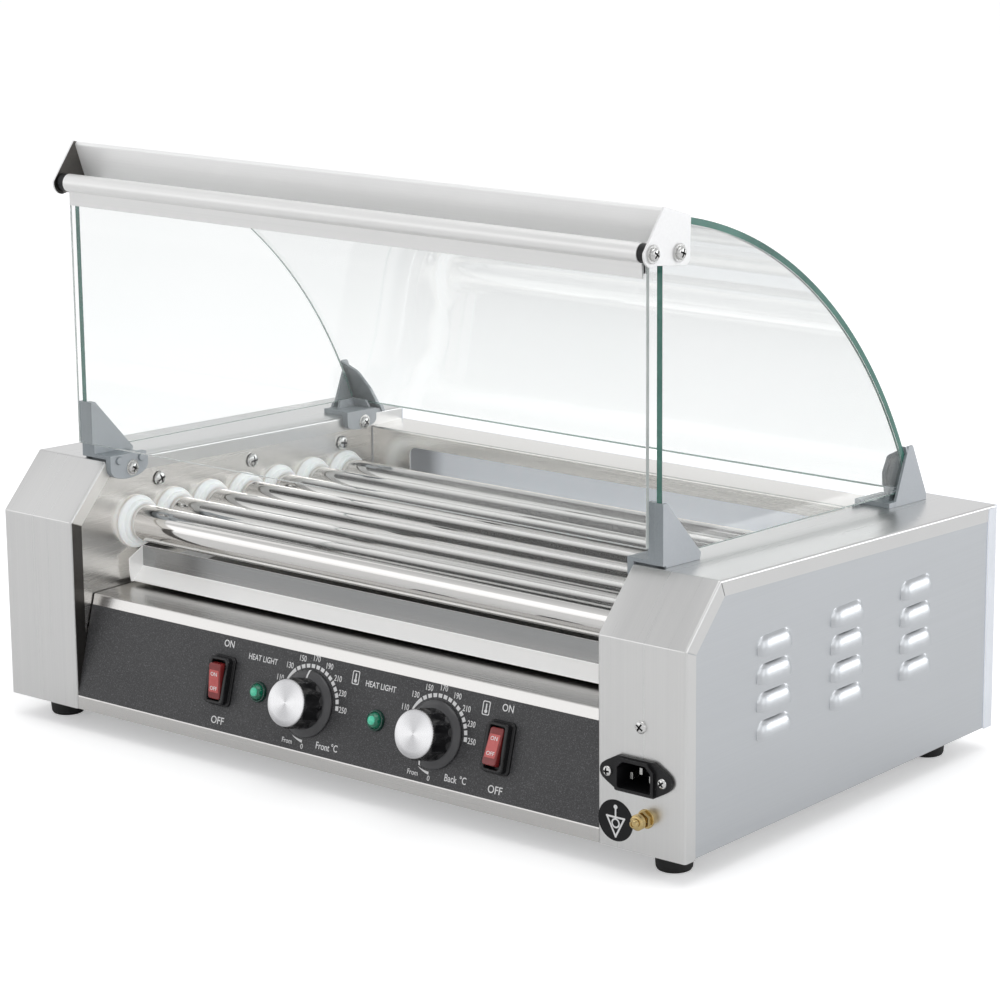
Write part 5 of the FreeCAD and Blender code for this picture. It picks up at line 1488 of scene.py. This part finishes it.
def build_screws():
    """Every visible screw, in one mesh: walls, bracket tabs, rail ends, inlet, front and feet."""
    pan = screw_mesh(4.0, 1.0)
    small = screw_mesh(3.2, 1.0)
    large = screw_mesh(5.0, 1.0)
    to_x = Matrix(((0, 0, 1, 0), (1, 0, 0, 0), (0, 1, 0, 0), (0, 0, 0, 1)))
    to_minus_x = Matrix(((0, 0, -1, 0), (-1, 0, 0, 0), (0, 1, 0, 0), (0, 0, 0, 1)))
    to_front = Matrix(((1, 0, 0, 0), (0, 0, -1, 0), (0, 1, 0, 0), (0, 0, 0, 1)))
    to_ground = Matrix(((1, 0, 0, 0), (0, -1, 0, 0), (0, 0, -1, 0), (0, 0, 0, 1)))
    places = []

    def both_sides(x, y, z, source=pan):
        """Places a screw and its mirror image, their heads towards the rollers."""
        places.append((source, (x, y, z), to_x))
        places.append((source, (WIDTH - x, y, z), to_minus_x))

    for y, z in WALL_SCREWS:
        both_sides(HOUSING - 0.3, y, z, large)
    for y, z in TAB_SCREWS:
        both_sides(HOUSING + 4.9, y, z)
    plate = GLASS_X - PLATE_GAUGE - RAIL_WASHER
    for y, z in RAIL_SCREWS:
        places.append((pan, (plate, y, z), to_minus_x))
        places.append((pan, (WIDTH - plate, y, z), to_x))
    for x, y in FOOT_PLACES:
        places.append((pan, (x, y, -9.0), to_ground))
    places.append((pan, (WIDTH - 32.0, 0.0, 78.2), to_front))
    for side in (-20.0, 20.0):
        places.append((small, (INLET_X + side, -2.6, INLET_Z), to_front))
    bm = bmesh.new()
    for k, (source, at, way) in enumerate(places):
        copy = source.copy()
        spin = Matrix.Rotation(math.radians(FIRST_TURN + TURN_STEP * k), 4, "Z")
        copy.transform(Matrix.Translation(at) @ way @ spin)
        join(bm, copy)
    for source in (pan, small, large):
        source.free()
    # The rings under the wall screws take the near-black painted shadow; the other rings are screw
    # steel.
    for centres, x0, gauge, radius, finish in ((RAIL_SCREWS, plate, RAIL_WASHER, 5.6, 0),
                                               (TAB_SCREWS, HOUSING + 4.55, 0.5, 5.5, 0),
                                               (WALL_SCREWS, HOUSING - 0.95, 0.7, 4.4, 1)):
        for centre in centres:
            for x in (x0, WIDTH - x0 - gauge):
                ring = washer(x, gauge, radius, centre)
                for face in ring.faces:
                    face.material_index = finish
                join(bm, ring)
    piece(new_object("screws", bm, 40.0), "chassis", "screw_steel", (M["screw"], M["slot"]),
          "pan_head_screws")


def build_feet():
    """Tapered rubber feet with a ring moulded round each."""
    bm = bmesh.new()
    profile = [(2.1, 0), (12.5, 0), (12.5, -2.0), (12.1, -2.6), (11.2, -13.2), (10.4, -14.6),
               (9.6, -15.0), (5.6, -15.0), (5.0, -14.4), (5.0, -9.0), (2.1, -9.0)]
    for place in FOOT_PLACES:
        join(bm, lathe(profile, place, flat_on, 64))
    piece(new_object("feet", bm, 40.0), "chassis", "black_rubber", M["rubber"], "rubber_feet")


build_screws()
build_feet()


# ---------------------------------------------------------------- finishes of the CAD nodes

NODE_FINISH = {
    "base_plate": "base", "left_inner_wall": "inner", "right_inner_wall": "inner", "rear_cover": "cover",
    "bay_floor": "inner", "panel_overlay": "film", "heater_rods": "sheath", "heater_holders": "base",
    "gear_motor": "paint", "motor_bracket": "base", "motor_sprocket": "drive", "drive_chain": "drive",
    "thermostats": "thermostat", "terminal_block": "nylon", "inlet_pins": "pins",
}
for i in range(ROLLERS):
    NODE_FINISH[f"roller_sprocket_{i + 1}"] = "drive"

for name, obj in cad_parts.items():
    if name in NODE_FINISH:
        obj.data.materials.clear()
        obj.data.materials.append(M[NODE_FINISH[name]])
        for polygon in obj.data.polygons:
            polygon.material_index = 0

# The inside of the rear cover, seen through the long window, takes a painted bluish glow of its own.
rear_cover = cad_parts["rear_cover"]
rear_cover.data.materials.append(M["cover_inside"])
for polygon in rear_cover.data.polygons:
    if (rear_cover.matrix_world.to_3x3() @ polygon.normal).y < -0.9:
        polygon.material_index = 1


# ---------------------------------------------------------------- light, floor and camera

SEEN_THROUGH_GLASS = 0.85


def seen_share(tree):
    """1 for what the camera sees straight on, a little less through glass, 0 for all else."""
    path = node(tree, "LightPath")
    mirrored_before = maths(tree, "ADD", path.outputs["Glossy Depth"], path.outputs["Diffuse Depth"])
    straight = maths(tree, "LESS_THAN", mirrored_before, 0.5)
    behind = maths(tree, "MULTIPLY", path.outputs["Is Transmission Ray"], straight)
    dimmed = maths(tree, "MULTIPLY", behind, SEEN_THROUGH_GLASS)
    return maths(tree, "MAXIMUM", dimmed, path.outputs["Is Camera Ray"])


def mirrored_through_hood(tree):
    """1 for what polished metal under the hood mirrors through the glass, 0 for all else."""
    path = node(tree, "LightPath")
    mirrored_before = maths(tree, "GREATER_THAN", path.outputs["Glossy Depth"], 0.5)
    return maths(tree, "MULTIPLY", path.outputs["Is Transmission Ray"], mirrored_before)


def lay_floor():
    """A wide pale floor."""
    half = 20.0
    mesh = bpy.data.meshes.new("floor")
    mesh.from_pydata([(-half, -half, 0), (half, -half, 0), (half, half, 0), (-half, half, 0)], [],
                     [(0, 1, 2, 3)])
    floor = linked("floor", mesh)
    material, tree, principled, coordinates = shader("pale_floor")
    seen = mixed(tree, noise(tree, coordinates, 0.5, 1.0), 0.93, 0.95)
    to_camera = seen_share(tree)
    feed(tree, principled, Base_Color=mixed(tree, to_camera, 0.80, seen), Roughness=0.9,
         Emission_Color=(1.0, 1.0, 1.0, 1.0),
         Emission_Strength=spread(tree, to_camera, 0.0, 0.35, 0.0, 1.0))
    mesh.materials.append(material)


def soft_light(name, at, aim, size, power, colour=(1.0, 1.0, 1.0)):
    """A rectangular lamp at a place, turned towards another, in metres and watts."""
    light = bpy.data.lights.new(name, "AREA")
    light.shape = "RECTANGLE"
    light.size, light.size_y = size
    light.energy = power
    light.color = colour
    lamp = linked(name, light)
    lamp.location = at
    lamp.rotation_euler = (Vector(aim) - Vector(at)).to_track_quat("-Z", "Y").to_euler()


ROOM_STRENGTH, WHITE_STRENGTH = 0.95, 1.05
# Brightness of the room from straight down (0) to straight up (1), in the open and as polished
# metal under the hood sees it.
ROOM_LEVELS = ((0.0, 0.35), (0.49, 0.75), (0.60, 1.00), (0.84, 0.60), (1.0, 0.80))
HOOD_LEVELS = ((0.0, 0.70), (0.50, 1.00), (0.74, 1.05), (0.82, 0.62), (0.856, 0.40), (0.872, 0.055),
               (1.0, 0.05))


def grey_ramp(tree, value, stops):
    """A nearly neutral grey that follows a value through (position, level) stops."""
    ramp = tree.nodes.new("ShaderNodeValToRGB")
    while len(ramp.color_ramp.elements) < len(stops):
        ramp.color_ramp.elements.new(0.5)
    for element, (position, level) in zip(ramp.color_ramp.elements, stops):
        element.position = position
        element.color = (level, level, level * 1.01, 1.0)
    tree.links.new(value, ramp.inputs["Fac"])
    return ramp.outputs["Color"]


def light_world():
    """White to the camera; for everything else a room that is bright above and grey below."""
    world = bpy.data.worlds.new("studio")
    bpy.context.scene.world = world
    world.use_nodes = True
    tree = world.node_tree
    tree.nodes.clear()
    direction = node(tree, "TexCoord").outputs["Generated"]
    height = spread(tree, axes(tree, direction)["Z"], 0.0, 1.0, -1.0, 1.0)
    open_room = grey_ramp(tree, height, ROOM_LEVELS)
    under_hood = grey_ramp(tree, height, HOOD_LEVELS)
    level = mixed(tree, mirrored_through_hood(tree), open_room, under_hood)
    room = node(tree, "Background", Color=level, Strength=ROOM_STRENGTH)
    white = node(tree, "Background", Strength=WHITE_STRENGTH)
    blended(tree, seen_share(tree), room, white, tree.nodes.new("ShaderNodeOutputWorld"))


CAMERA_PLACE = (1.3978, -1.6880, 0.6962)
CAMERA_TURNS = (39.32, 13.74, 0.57)      # azimuth, elevation and roll in degrees
CAMERA_LENS, FILM_WIDTH = 123.2, 36.0


def set_camera():
    """A long lens at the front right, a little above, with a slight roll."""
    azimuth, elevation, roll = (math.radians(degrees) for degrees in CAMERA_TURNS)
    forward = Vector((-math.sin(azimuth) * math.cos(elevation), math.cos(azimuth) * math.cos(elevation),
                      -math.sin(elevation)))
    level = Vector((math.cos(azimuth), math.sin(azimuth), 0.0))
    upright = level.cross(forward)
    right = level * math.cos(roll) - upright * math.sin(roll)
    up = upright * math.cos(roll) + level * math.sin(roll)
    data = bpy.data.cameras.new("camera")
    data.sensor_fit = "HORIZONTAL"
    data.sensor_width = FILM_WIDTH
    data.lens = CAMERA_LENS
    data.clip_start, data.clip_end = 0.1, 100.0
    camera = linked("camera", data)
    turn = Matrix((right, up, -forward)).transposed().to_4x4()
    camera.matrix_world = Matrix.Translation(CAMERA_PLACE) @ turn
    bpy.context.scene.camera = camera


lay_floor()
light_world()
soft_light("overhead", (0.1, 0.1, 2.2), (0.0, 0.0, 0.2), (2.4, 1.8), 14.0)
soft_light("high_left", (-1.9, -0.9, 1.8), (-0.2, -0.1, 0.15), (0.9, 0.9), 0.9)
soft_light("front_strip", (-1.85, -2.45, 0.61), (0.0, -0.15, 0.06), (2.6, 1.5), 5.5)
soft_light("low_back_right", (2.0, 2.4, 0.50), (0.0, 0.0, 0.12), (2.0, 0.8), 12.0, (0.97, 0.985, 1.0))
soft_light("right_side", (3.0, 0.2, 1.1), (0.2, 0.0, 0.1), (1.6, 1.6), 6.0, (0.96, 0.98, 1.0))
set_camera()
bpy.context.scene.view_settings.view_transform = "Standard"
